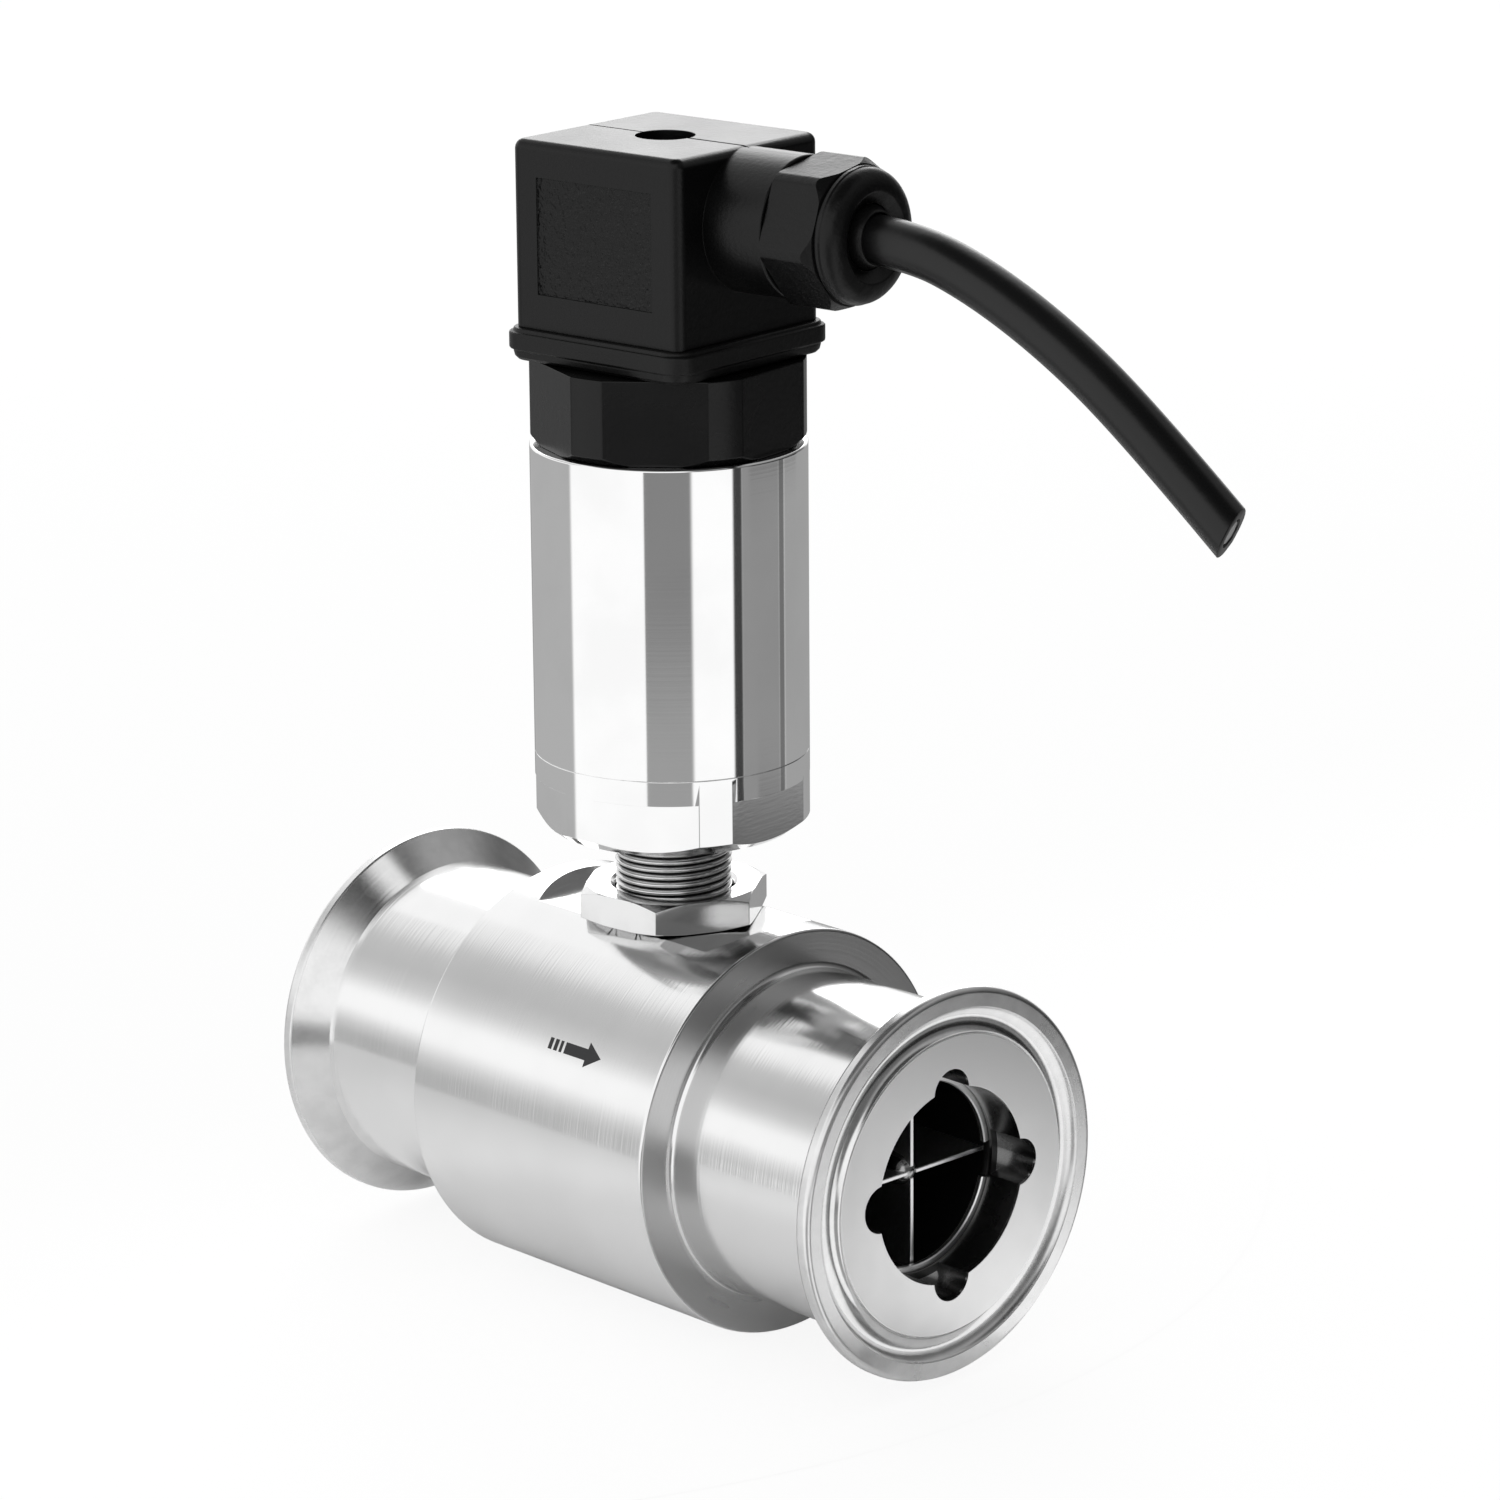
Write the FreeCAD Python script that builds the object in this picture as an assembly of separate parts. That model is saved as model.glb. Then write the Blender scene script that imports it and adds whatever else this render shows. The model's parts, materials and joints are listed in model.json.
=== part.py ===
"""Turbine flow meter, 25 mm bore, with clamp ferrules and a screwed-in magnetic pickup.

The origin is the centre of the inlet face. The liquid flows along +X, and the pickup
stands along +Z. All sizes are in millimetres.
"""
import FreeCAD, Part
import math
import os

V = FreeCAD.Vector
ORIGIN, AXIS_X, AXIS_Y, AXIS_Z = V(0, 0, 0), V(1, 0, 0), V(0, 1, 0), V(0, 0, 1)

# Clearances
SEAT_GAP = 0.05          # radial, between pieces that are pushed or screwed together
RUNNING_GAP = 0.05       # radial, shaft in its bushes
TURNING_GAP = 0.15       # round pieces that are turned by hand: nuts and the fixing screw
END_GAP = 0.1            # axial, between faces that slide past each other

# Meter body, turned from bar
FACE_TO_FACE = 100.0
BARREL_LENGTH = 43.4
BARREL_R = 26.5
BARREL_CHAMFER = 0.5
NECK_R = 21.4
NECK_FILLET = 0.9        # turned bevel at the foot of each shoulder
BORE_R = 12.7
ROTOR_BORE_STEP = 0.7    # the bore narrows by this much round the rotor
ROTOR_BORE_LENGTH = 36.0

# Clamp ferrules, welded to the necks
FERRULE_LENGTH = 5.3
RIM_R = 25.25
RIM_WIDTH = 1.9
RIM_EDGE = 0.4           # bevel on both edges of the rim
GROOVE_TO_RIM = 4.15     # from the groove's middle out to the rim
GROOVE_WIDTH = 3.4
GROOVE_FLOOR_WIDTH = 1.4
GROOVE_DEPTH = 1.3
LOBE_COUNT = 4
LOBE_R = 3.05
LOBE_INSET = 0.55        # the lobes' centres lie this far inside the bore's wall
MOUTH_CHAMFER = 0.35

# Retaining rings in the bore
RING_THICKNESS = 1.0
RING_RADIAL_WIDTH = 1.6
RING_GROOVE_DEPTH = 0.9
RING_LAND = 0.4          # bore wall left between the ring's groove and the ferrule
RING_GAP_ANGLE = 22.0
RING_GAP_AT = -27.0      # from +Y, towards +Z

# Flow straighteners
VANE_COUNT = 4
VANE_THICKNESS = 0.6
HUB_R = 4.4
HUB_NOSE_R = 2.0
HUB_NOSE_LENGTH = 17.0   # from the nose tip to the full hub
HUB_TO_ROTOR = 1.0
BUSH_R = 2.4
BUSH_LENGTH = 5.0
THRUST_PAD_THICKNESS = 1.2

# Rotor
SHAFT_R = 1.0
SHAFT_COLLAR_R = 1.8
SHAFT_COLLAR_LENGTH = 0.6
ROTOR_HUB_R = 4.4
ROTOR_LENGTH = 12.0
ROTOR_TIP_GAP = 0.5
BLADE_COUNT = 6
BLADE_THICKNESS = 1.1
BLADE_LEAD = 95.0        # axial length of one full turn of the blade's helix

# Spot face and pocket for the pickup
SPOT_DEPTH = 1.7
SPOT_R = 18.3
POCKET_WEB = 1.5         # wall left above the rotor's bore

# Pickup head, all heights measured up from the spot face
HEAD_TURN = 6.0          # the head is locked at this angle about its own axis
THREAD_R = 7.5
NUT_FLATS = 22.0
NUT_HEIGHT = 4.1
NUT_TURN = 0.0
NUT_TOP_BEVEL = 0.65     # height of the bevel at the nut's corners
NUT_FOOT_BEVEL = 0.4
NUT_BEVEL_REACH = 1.5    # both bevels run in this far from the corners
NUT_THREAD_GAP = 0.45    # radial, the nut's countersunk hole round the stem
STEM_LENGTH = 11.95      # from the spot face to the hexagon's underside
STEM_RELIEF = 0.6
STEM_RELIEF_LENGTH = 1.3
STEM_BORE_R = 5.9
STEM_END_WEB = 1.0
STEM_END_GAP = 0.3
HEX_FLAT_DEPTH = 1.35    # the flats are cut this deep into the round
HEX_HEIGHT = 7.05
HEX_FOOT_INSET = 2.3
HEX_FOOT_CHAMFER = 1.6
HEX_SPIN = -1.0          # the flats' angle in the head
COLLAR_HEIGHT = 3.2      # round part between the flats and the seam
SLEEVE_R = 17.6
SLEEVE_WALL = 1.9
SLEEVE_LENGTH = 40.0
SLEEVE_LIP_CHAMFER = 0.5
SPIGOT_LENGTH = 6.0
BOARD_WELL_R = 12.0
BOARD_WELL_DEPTH = 5.0   # below the seam

# Magnetic pickup inside the stem
POLE_R = 1.5
POLE_LENGTH = 11.5
BOBBIN_R = 5.5
BOBBIN_LENGTH = 10.0
BOBBIN_FLANGE = 0.9
BOBBIN_CORE_WALL = 0.7
COIL_R = 5.0
MAGNET_R = 4.0
MAGNET_LENGTH = 6.0
SPACER_WALL = 1.2
WIRE_R = 0.4
LEAD_PITCH_R = 4.95

# Amplifier board
BOARD_SIDE_GAP = 0.25
BOARD_THICKNESS = 1.6
BOARD_SLOT_DEPTH = 2.0
BOARD_TOP_GAP = 3.0
HOLDER_THICKNESS = 3.0
CHIP_SIZE = (8.0, 2.0, 6.0)
TRIMMER_SIZE = (6.0, 4.0, 6.0)
CAPACITOR_R = 2.5
CAPACITOR_HEIGHT = 7.0

# Connector base, screwed into the sleeve
BASE_STEP = 0.15         # the base is this much slimmer than the sleeve
BASE_FLAT_DEPTH = 1.3
BASE_SPIN = -55.0
BASE_HEIGHT = 10.8
BASE_FOOT_CHAMFER = 1.0
BASE_SPIGOT_LENGTH = 6.0
BASE_WALL = 4.0
BLADE_PIN_WIDTH = 6.0
BLADE_PIN_THICKNESS = 0.8
BLADE_PIN_OUT = 9.0
BLADE_PIN_TAIL = 3.0     # below the base's floor
INSERT_NUT_R = 3.0
INSERT_NUT_LENGTH = 7.0

# Plug
PLUG_WIDTH = 27.4
PLUG_HEIGHT = 23.7
PLUG_CORNER_R = 1.6
PLUG_TOP_R = 1.2
PLUG_WALL = 1.7
PLUG_FOOT_STEP = 0.7
GASKET_LIP = 1.3         # the lip stands out this far beyond the plug
GASKET_HEIGHT = 4.2
GASKET_CORNER_R = 3.2
GASKET_FLOOR = 1.4
GASKET_EDGE = 1.3        # bevel round the underside
PATCH_SIDE = 4.3         # plain border left and right of the recess
PATCH_BORDER = 4.5       # plain border above and below it
PATCH_DEPTH = 0.3
SCREW_WELL_GAP = 0.75    # radial, round the screw's head
SCREW_WELL_DEPTH = 9.1
SCREW_COLUMN_WALL = 1.25
SEAM_WIDTH = 0.5
SEAM_DEPTH = 0.35
TERMINAL_BLOCK_HEIGHT = 10.6
CONTACT_WALL = 0.55
CONTACT_HEIGHT = 8.4
TERMINAL_SCREW_R = 1.5
TERMINAL_SCREW_LENGTH = 7.0
TERMINAL_SCREW_EDGE = 4.0    # from the block's sides to each screw's axis
CONTACT_EDGE_WALL = 0.65     # block left outside each contact

# Fixing screw
SCREW_R = 1.5
SCREW_HEAD_R = 3.0
SCREW_HEAD = 2.6
SCREW_SLOT_WIDTH = 0.8
SCREW_SLOT_DEPTH = 1.1
SCREW_SEAL = 0.7
SCREW_INTO_NUT = 5.5

# Cable gland
GLAND_DROP = 9.1         # gland axis below the plug's top
GLAND_NECK_R = 9.0
GLAND_NECK_LENGTH = 9.1
GLAND_NECK_EDGE = 0.5
GLAND_THREAD_R = 7.2
GLAND_NUT_FLATS = 17.0
GLAND_NUT_SPIN = 100.0   # one flat faces this angle, from +Y towards +Z
GLAND_NUT_LENGTH = 7.9   # the hexagon, without the dome
GLAND_NUT_BEVEL = 1.6
GLAND_NUT_RIM_R = 9.3
GLAND_NUT_DOME = 2.9
GLAND_NUT_MOUTH_GAP = 0.2
SEAL_LENGTH = 5.0
SEAL_WALL = 2.1
SEAL_NOSE_WALL = 0.9     # the seal's nose stands in the nut's mouth, round the cable
SEAL_NOSE_OUT = 0.3
WASHER_THICKNESS = 0.6

# Cable, cut off where the photograph cuts it. Its points lie in the head's own X-Z plane:
# distance from the head's axis, and drop below the gland's axis.
CABLE_R = 3.1
CABLE_ROUTE = [(26.5, 0.0), (38.5, 0.0), (50.5, 3.7), (64.0, 10.8), (76.5, 20.1), (86.8, 28.8)]
CABLE_ARC_SHARE = 0.45   # of the shorter run, taken by each bend

# Sizes that follow from those above
ROTOR_BORE_R = BORE_R - ROTOR_BORE_STEP
GROOVE_CENTRE_R = RIM_R - GROOVE_TO_RIM
LOBE_CENTRE_R = BORE_R - LOBE_INSET
HEX_FLATS = 2 * (SLEEVE_R - HEX_FLAT_DEPTH)
HEX_FOOT_R = SLEEVE_R - HEX_FOOT_INSET
BOARD_WIDTH = 2 * (BOARD_WELL_R - SEAT_GAP - BOARD_SIDE_GAP)
BASE_R = SLEEVE_R - BASE_STEP
BASE_FLATS = 2 * (BASE_R - BASE_FLAT_DEPTH)
GASKET_WIDTH = PLUG_WIDTH + 2 * GASKET_LIP
PLUG_FOOT = PLUG_WIDTH - 2 * PLUG_FOOT_STEP
PLUG_CAVITY = PLUG_FOOT - 2 * PLUG_WALL
PATCH_WIDTH = PLUG_WIDTH - 2 * PATCH_SIDE
PATCH_HEIGHT = PLUG_HEIGHT - 2 * PATCH_BORDER
SCREW_WELL_R = SCREW_HEAD_R + SCREW_WELL_GAP
SCREW_COLUMN_R = SCREW_WELL_R + SCREW_COLUMN_WALL
BLOCK_WIDTH = PLUG_CAVITY - 2 * END_GAP
CONTACT_THICKNESS = BLADE_PIN_THICKNESS + 2 * (SEAT_GAP + CONTACT_WALL)
CONTACT_WIDTH = BLADE_PIN_WIDTH + 2 * (SEAT_GAP + CONTACT_WALL)
BLADE_PIN_PITCH_R = BLOCK_WIDTH / 2 - CONTACT_EDGE_WALL - SEAT_GAP - CONTACT_THICKNESS / 2
TERMINAL_SCREW_PITCH = BLOCK_WIDTH - 2 * TERMINAL_SCREW_EDGE
GLAND_BORE_R = CABLE_R + SEAL_WALL
SEAL_NOSE_R = CABLE_R + SEAL_NOSE_WALL
GLAND_NUT_MOUTH_R = SEAL_NOSE_R + GLAND_NUT_MOUTH_GAP

# Stations along the pipe
SENSOR_X = FACE_TO_FACE / 2
BARREL_START = SENSOR_X - BARREL_LENGTH / 2
SHOULDER_START = SENSOR_X - ROTOR_BORE_LENGTH / 2
RING_START = FERRULE_LENGTH + RING_LAND
VANE_START = RING_START + RING_THICKNESS + END_GAP
VANE_LENGTH = SHOULDER_START - VANE_START
HUB_END = SENSOR_X - ROTOR_LENGTH / 2 - HUB_TO_ROTOR

# Heights of the head
SPOT_Z = BARREL_R - SPOT_DEPTH
POCKET_Z = ROTOR_BORE_R + POCKET_WEB
STEM_Z = POCKET_Z + STEM_END_GAP
NUT_Z = SPOT_Z + END_GAP
HEX_Z = SPOT_Z + STEM_LENGTH
SEAM_Z = HEX_Z + HEX_HEIGHT + COLLAR_HEIGHT
WELL_Z = SEAM_Z - BOARD_WELL_DEPTH
SLEEVE_BORE_R = SLEEVE_R - SLEEVE_WALL
LIP_Z = SEAM_Z + SLEEVE_LENGTH
BASE_TOP_Z = LIP_Z + BASE_HEIGHT
GASKET_TOP_Z = BASE_TOP_Z + GASKET_HEIGHT
FOOT_Z = BASE_TOP_Z + GASKET_FLOOR
PLUG_TOP_Z = GASKET_TOP_Z + PLUG_HEIGHT
WELL_FLOOR_Z = PLUG_TOP_Z - SCREW_WELL_DEPTH
SCREW_HEAD_Z = WELL_FLOOR_Z + SCREW_SEAL
BLOCK_Z = FOOT_Z + END_GAP
BLOCK_TOP_Z = BLOCK_Z + TERMINAL_BLOCK_HEIGHT
GLAND_Z = PLUG_TOP_Z - GLAND_DROP
NECK_END_X = PLUG_WIDTH / 2 + GLAND_NECK_LENGTH
GLAND_NUT_X = NECK_END_X + END_GAP
GLAND_NUT_RIM_X = GLAND_NUT_X + GLAND_NUT_LENGTH
GLAND_NUT_END_X = GLAND_NUT_RIM_X + GLAND_NUT_DOME
THREAD_END_X = GLAND_NUT_RIM_X - WASHER_THICKNESS - 2 * END_GAP


def revolved(points, axis):
    """A solid turned from a closed outline of (along the axis, radius) points."""
    if axis is AXIS_X:
        corners = [V(along, 0, radius) for along, radius in points]
    else:
        corners = [V(radius, 0, along) for along, radius in points]
    outline = Part.Face(Part.makePolygon(corners + [corners[0]]))
    return outline.revolve(ORIGIN, axis, 360)


def tube(outer_r, inner_r, length, start, axis):
    """A plain ring or bush on the given axis line."""
    ring = Part.makeCylinder(outer_r, length, start, axis)
    return ring.cut(Part.makeCylinder(inner_r, length, start, axis))


def prism(sides, flats, length, start, axis, spin=0.0):
    """A bar of regular polygon section, with one flat facing the angle spin."""
    corner_r = flats / 2 / math.cos(math.pi / sides)
    angles = [math.radians(spin + (step + 0.5) * 360 / sides) for step in range(sides + 1)]
    if axis is AXIS_X:
        corners = [V(0, corner_r * math.cos(a), corner_r * math.sin(a)) for a in angles]
    else:
        corners = [V(corner_r * math.cos(a), corner_r * math.sin(a), 0) for a in angles]
    bar = Part.Face(Part.makePolygon(corners)).extrude(axis * length)
    bar.translate(start)
    return bar


def square_block(width, height, z, corner_r=0.0):
    """An upright block centred on the head's axis, with its upright edges rounded."""
    block = Part.makeBox(width, width, height, V(-width / 2, -width / 2, z))
    if corner_r:
        block = block.makeFillet(corner_r, [e for e in block.Edges if is_upright(e)])
    return block


def is_upright(edge):
    first, last = edge.Vertexes[0].Point, edge.Vertexes[-1].Point
    return abs(first.z - last.z) > 0.5 * edge.Length


def centred_box(size_x, size_y, height, x, y, z):
    return Part.makeBox(size_x, size_y, height, V(x - size_x / 2, y - size_y / 2, z))


def around_z(make_one, count):
    """Copies of one solid, evenly turned about the head's axis."""
    copies = []
    for step in range(count):
        copy = make_one()
        copy.rotate(ORIGIN, AXIS_Z, step * 360 / count)
        copies.append(copy)
    return copies


def mirrored_to_outlet(shape):
    """The outlet's copy of a piece that was made at the inlet."""
    return shape.mirror(V(SENSOR_X, 0, 0), AXIS_X)


# Pipe side

def make_meter_body():
    start, end = FERRULE_LENGTH, FACE_TO_FACE - FERRULE_LENGTH
    barrel_end = FACE_TO_FACE - BARREL_START
    root_r, edge_r = NECK_R + NECK_FILLET, BARREL_R - BARREL_CHAMFER
    outer = revolved([(start, 0), (start, NECK_R), (BARREL_START - NECK_FILLET, NECK_R),
                      (BARREL_START, root_r), (BARREL_START, edge_r),
                      (BARREL_START + BARREL_CHAMFER, BARREL_R), (barrel_end - BARREL_CHAMFER, BARREL_R),
                      (barrel_end, edge_r), (barrel_end, root_r), (barrel_end + NECK_FILLET, NECK_R),
                      (end, NECK_R), (end, 0)], AXIS_X)

    shoulder_end = FACE_TO_FACE - SHOULDER_START
    bore = revolved([(start, 0), (start, BORE_R), (SHOULDER_START, BORE_R), (SHOULDER_START, ROTOR_BORE_R),
                     (shoulder_end, ROTOR_BORE_R), (shoulder_end, BORE_R), (end, BORE_R), (end, 0)], AXIS_X)
    body = outer.cut(bore)

    groove_r = BORE_R + RING_GROOVE_DEPTH
    groove = Part.makeCylinder(groove_r, RING_THICKNESS + END_GAP, V(RING_START, 0, 0), AXIS_X)
    body = body.cut(groove).cut(mirrored_to_outlet(groove))

    spot = Part.makeCylinder(SPOT_R, BARREL_R, V(SENSOR_X, 0, SPOT_Z), AXIS_Z)
    pocket = Part.makeCylinder(THREAD_R + SEAT_GAP, BARREL_R, V(SENSOR_X, 0, POCKET_Z), AXIS_Z)
    return body.cut(spot).cut(pocket)


def make_ferrule():
    """The inlet's ferrule: clamp rim, gasket groove, sloping back and lobed mouth."""
    disc = revolved([(0, 0), (0, RIM_R - RIM_EDGE), (RIM_EDGE, RIM_R), (RIM_WIDTH, RIM_R),
                     (FERRULE_LENGTH, NECK_R), (FERRULE_LENGTH, 0)], AXIS_X)
    half, half_floor = GROOVE_WIDTH / 2, GROOVE_FLOOR_WIDTH / 2
    groove = revolved([(0, GROOVE_CENTRE_R - half), (GROOVE_DEPTH, GROOVE_CENTRE_R - half_floor),
                       (GROOVE_DEPTH, GROOVE_CENTRE_R + half_floor), (0, GROOVE_CENTRE_R + half)], AXIS_X)

    mouth = Part.makeCylinder(BORE_R, FERRULE_LENGTH, ORIGIN, AXIS_X)
    for step in range(LOBE_COUNT):
        angle = step * 2 * math.pi / LOBE_COUNT
        centre = V(0, LOBE_CENTRE_R * math.cos(angle), LOBE_CENTRE_R * math.sin(angle))
        mouth = mouth.fuse(Part.makeCylinder(LOBE_R, FERRULE_LENGTH, centre, AXIS_X))
    ferrule = disc.cut(groove).cut(mouth.removeSplitter())

    lobe_reach = LOBE_CENTRE_R + LOBE_R
    brim = [e for e in ferrule.Edges
            if e.BoundBox.XMax < 1e-6 and e.BoundBox.YMax < lobe_reach + 0.1
            and e.BoundBox.YMin > -lobe_reach - 0.1 and e.BoundBox.ZMax < lobe_reach + 0.1
            and e.BoundBox.ZMin > -lobe_reach - 0.1]
    return ferrule.makeChamfer(MOUTH_CHAMFER, brim)


def make_retaining_ring():
    """A flat spring ring, open at one side, that holds the straightener in the bore."""
    outer_r = BORE_R + RING_GROOVE_DEPTH - SEAT_GAP
    ring = tube(outer_r, outer_r - RING_RADIAL_WIDTH, RING_THICKNESS,
                V(RING_START + END_GAP / 2, 0, 0), AXIS_X)
    first, last = (math.radians(RING_GAP_AT + side * RING_GAP_ANGLE / 2) for side in (-1, 1))
    reach = 2 * BORE_R
    wedge = Part.Face(Part.makePolygon([ORIGIN, V(0, reach * math.cos(first), reach * math.sin(first)),
                                        V(0, reach * math.cos(last), reach * math.sin(last)), ORIGIN]))
    return ring.cut(wedge.extrude(V(BARREL_START, 0, 0)))


def make_straightener_hub():
    """A hub with a rounded nose and a gentle taper, bored for the shaft's bush and thrust pad."""
    nose = VANE_START
    full = nose + HUB_NOSE_LENGTH
    cheek = HUB_NOSE_R * math.sqrt(0.5)
    tip = Part.Arc(V(nose, 0, 0), V(nose + HUB_NOSE_R - cheek, 0, cheek),
                   V(nose + HUB_NOSE_R, 0, HUB_NOSE_R)).toShape()
    rest = Part.makePolygon([V(nose + HUB_NOSE_R, 0, HUB_NOSE_R), V(full, 0, HUB_R),
                             V(HUB_END, 0, HUB_R), V(HUB_END, 0, 0), V(nose, 0, 0)])
    hub = Part.Face(Part.Wire([tip] + rest.Edges)).revolve(ORIGIN, AXIS_X, 360)
    bush_hole = BUSH_LENGTH + THRUST_PAD_THICKNESS
    return hub.cut(Part.makeCylinder(BUSH_R + SEAT_GAP, bush_hole, V(HUB_END - bush_hole, 0, 0), AXIS_X))


def make_straightener_vanes(hub):
    """Four plates that stand between the hub and the bore, from the ring to the shoulder."""
    vane_r = BORE_R - SEAT_GAP
    core = hub.fuse(Part.makeCylinder(BUSH_R + 2 * SEAT_GAP, HUB_END - VANE_START - HUB_NOSE_LENGTH,
                                      V(VANE_START + HUB_NOSE_LENGTH, 0, 0), AXIS_X))
    envelope = Part.makeCylinder(vane_r, VANE_LENGTH, V(VANE_START, 0, 0), AXIS_X)
    vanes = []
    for step in range(VANE_COUNT):
        plate = Part.makeBox(VANE_LENGTH, VANE_THICKNESS, BORE_R, V(VANE_START, -VANE_THICKNESS / 2, 0))
        plate.rotate(ORIGIN, AXIS_X, step * 360 / VANE_COUNT)
        vanes.append(plate.common(envelope).cut(core).Solids[0])
    return Part.makeCompound(vanes)


def make_bush():
    return tube(BUSH_R, SHAFT_R + RUNNING_GAP, BUSH_LENGTH, V(HUB_END - BUSH_LENGTH, 0, 0), AXIS_X)


def make_thrust_pad():
    start = HUB_END - BUSH_LENGTH - THRUST_PAD_THICKNESS
    return Part.makeCylinder(BUSH_R, THRUST_PAD_THICKNESS, V(start, 0, 0), AXIS_X)


def make_shaft():
    """The rotor's shaft runs from one thrust pad to the other and has a collar by each hub."""
    start = HUB_END - BUSH_LENGTH + END_GAP
    shaft = Part.makeCylinder(SHAFT_R, FACE_TO_FACE - 2 * start, V(start, 0, 0), AXIS_X)
    collar_x = SENSOR_X - ROTOR_LENGTH / 2 - SHAFT_COLLAR_LENGTH
    collar = Part.makeCylinder(SHAFT_COLLAR_R, SHAFT_COLLAR_LENGTH, V(collar_x, 0, 0), AXIS_X)
    return shaft.fuse([collar, mirrored_to_outlet(collar)]).removeSplitter()


def make_rotor():
    """Hub with helical blades. Every section of a blade follows the same lead."""
    start = SENSOR_X - ROTOR_LENGTH / 2
    tip_r = ROTOR_BORE_R - ROTOR_TIP_GAP
    radii = [0.8 * ROTOR_HUB_R, (ROTOR_HUB_R + tip_r) / 2, 1.06 * tip_r]
    sections = []
    for radius in radii:
        twist = math.atan(2 * math.pi * radius / BLADE_LEAD)
        half_chord = 0.75 * ROTOR_LENGTH / math.cos(twist)
        corners = [(-half_chord, -BLADE_THICKNESS / 2), (half_chord, -BLADE_THICKNESS / 2),
                   (half_chord, BLADE_THICKNESS / 2), (-half_chord, BLADE_THICKNESS / 2)]
        points = [V(SENSOR_X + along * math.cos(twist) - across * math.sin(twist),
                    along * math.sin(twist) + across * math.cos(twist), radius)
                  for along, across in corners]
        sections.append(Part.makePolygon(points + [points[0]]))
    blade = Part.makeLoft(sections, True, False)
    envelope = Part.makeCylinder(tip_r, ROTOR_LENGTH, V(start, 0, 0), AXIS_X)
    rotor = Part.makeCylinder(ROTOR_HUB_R, ROTOR_LENGTH, V(start, 0, 0), AXIS_X)
    for step in range(BLADE_COUNT):
        turned_blade = blade.copy()
        turned_blade.rotate(ORIGIN, AXIS_X, step * 360 / BLADE_COUNT)
        rotor = rotor.fuse(turned_blade.common(envelope))
    rotor = rotor.removeSplitter()
    return rotor.cut(Part.makeCylinder(SHAFT_R + SEAT_GAP / 2, ROTOR_LENGTH, V(start, 0, 0), AXIS_X))


# Pickup stem and housing

def make_lock_nut():
    nut = prism(6, NUT_FLATS, NUT_HEIGHT, V(0, 0, NUT_Z), AXIS_Z, NUT_TURN + 30)
    corner_r = NUT_FLATS / 2 / math.cos(math.pi / 6)
    face_r, top = corner_r - NUT_BEVEL_REACH, NUT_Z + NUT_HEIGHT
    bevel = revolved([(NUT_Z, 0), (NUT_Z, face_r), (NUT_Z + NUT_FOOT_BEVEL, corner_r),
                      (top - NUT_TOP_BEVEL, corner_r), (top, face_r), (top, 0)], AXIS_Z)
    hole = Part.makeCylinder(THREAD_R + NUT_THREAD_GAP, NUT_HEIGHT, V(0, 0, NUT_Z), AXIS_Z)
    return nut.common(bevel).cut(hole)


def make_pickup_stem():
    """Threaded stem, hexagon and spigot in one piece, bored from above."""
    spigot_r = SLEEVE_BORE_R - SEAT_GAP
    foot = HEX_Z + HEX_FOOT_CHAMFER
    relief_r = THREAD_R - STEM_RELIEF
    turned = revolved([(STEM_Z, 0), (STEM_Z, relief_r), (STEM_Z + STEM_RELIEF, THREAD_R),
                       (HEX_Z - STEM_RELIEF_LENGTH, THREAD_R), (HEX_Z - STEM_RELIEF_LENGTH, relief_r),
                       (HEX_Z, relief_r), (HEX_Z, HEX_FOOT_R), (foot, SLEEVE_R), (SEAM_Z, SLEEVE_R),
                       (SEAM_Z, spigot_r), (SEAM_Z + SPIGOT_LENGTH, spigot_r),
                       (SEAM_Z + SPIGOT_LENGTH, 0)], AXIS_Z)
    flats = prism(6, HEX_FLATS, HEX_HEIGHT, V(0, 0, HEX_Z), AXIS_Z, HEX_SPIN)
    waste = Part.makeCylinder(2 * SLEEVE_R, HEX_HEIGHT, V(0, 0, HEX_Z), AXIS_Z).cut(flats)
    bore = Part.makeCylinder(STEM_BORE_R, SEAM_Z, V(0, 0, STEM_Z + STEM_END_WEB), AXIS_Z)
    well = Part.makeCylinder(BOARD_WELL_R, SEAM_Z, V(0, 0, WELL_Z), AXIS_Z)
    return turned.cut(waste).cut(bore).cut(well)


def make_housing_sleeve():
    lip_r = SLEEVE_R - SLEEVE_LIP_CHAMFER
    return revolved([(SEAM_Z, SLEEVE_BORE_R), (SEAM_Z, SLEEVE_R), (LIP_Z - SLEEVE_LIP_CHAMFER, SLEEVE_R),
                     (LIP_Z, lip_r), (LIP_Z, SLEEVE_BORE_R)], AXIS_Z)


def pickup_stack():
    """Heights of the pieces inside the stem, from the closed end up."""
    floor = STEM_Z + STEM_END_WEB
    bobbin = floor + SEAT_GAP
    pole_top = floor + POLE_LENGTH
    return bobbin, pole_top, pole_top + MAGNET_LENGTH


def make_pole_piece():
    return Part.makeCylinder(POLE_R, POLE_LENGTH, V(0, 0, STEM_Z + STEM_END_WEB), AXIS_Z)


def make_coil_bobbin():
    bottom = pickup_stack()[0]
    core_r = POLE_R + SEAT_GAP + BOBBIN_CORE_WALL
    top = bottom + BOBBIN_LENGTH
    return revolved([(bottom, POLE_R + SEAT_GAP), (bottom, BOBBIN_R), (bottom + BOBBIN_FLANGE, BOBBIN_R),
                     (bottom + BOBBIN_FLANGE, core_r), (top - BOBBIN_FLANGE, core_r),
                     (top - BOBBIN_FLANGE, BOBBIN_R), (top, BOBBIN_R), (top, POLE_R + SEAT_GAP)], AXIS_Z)


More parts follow.
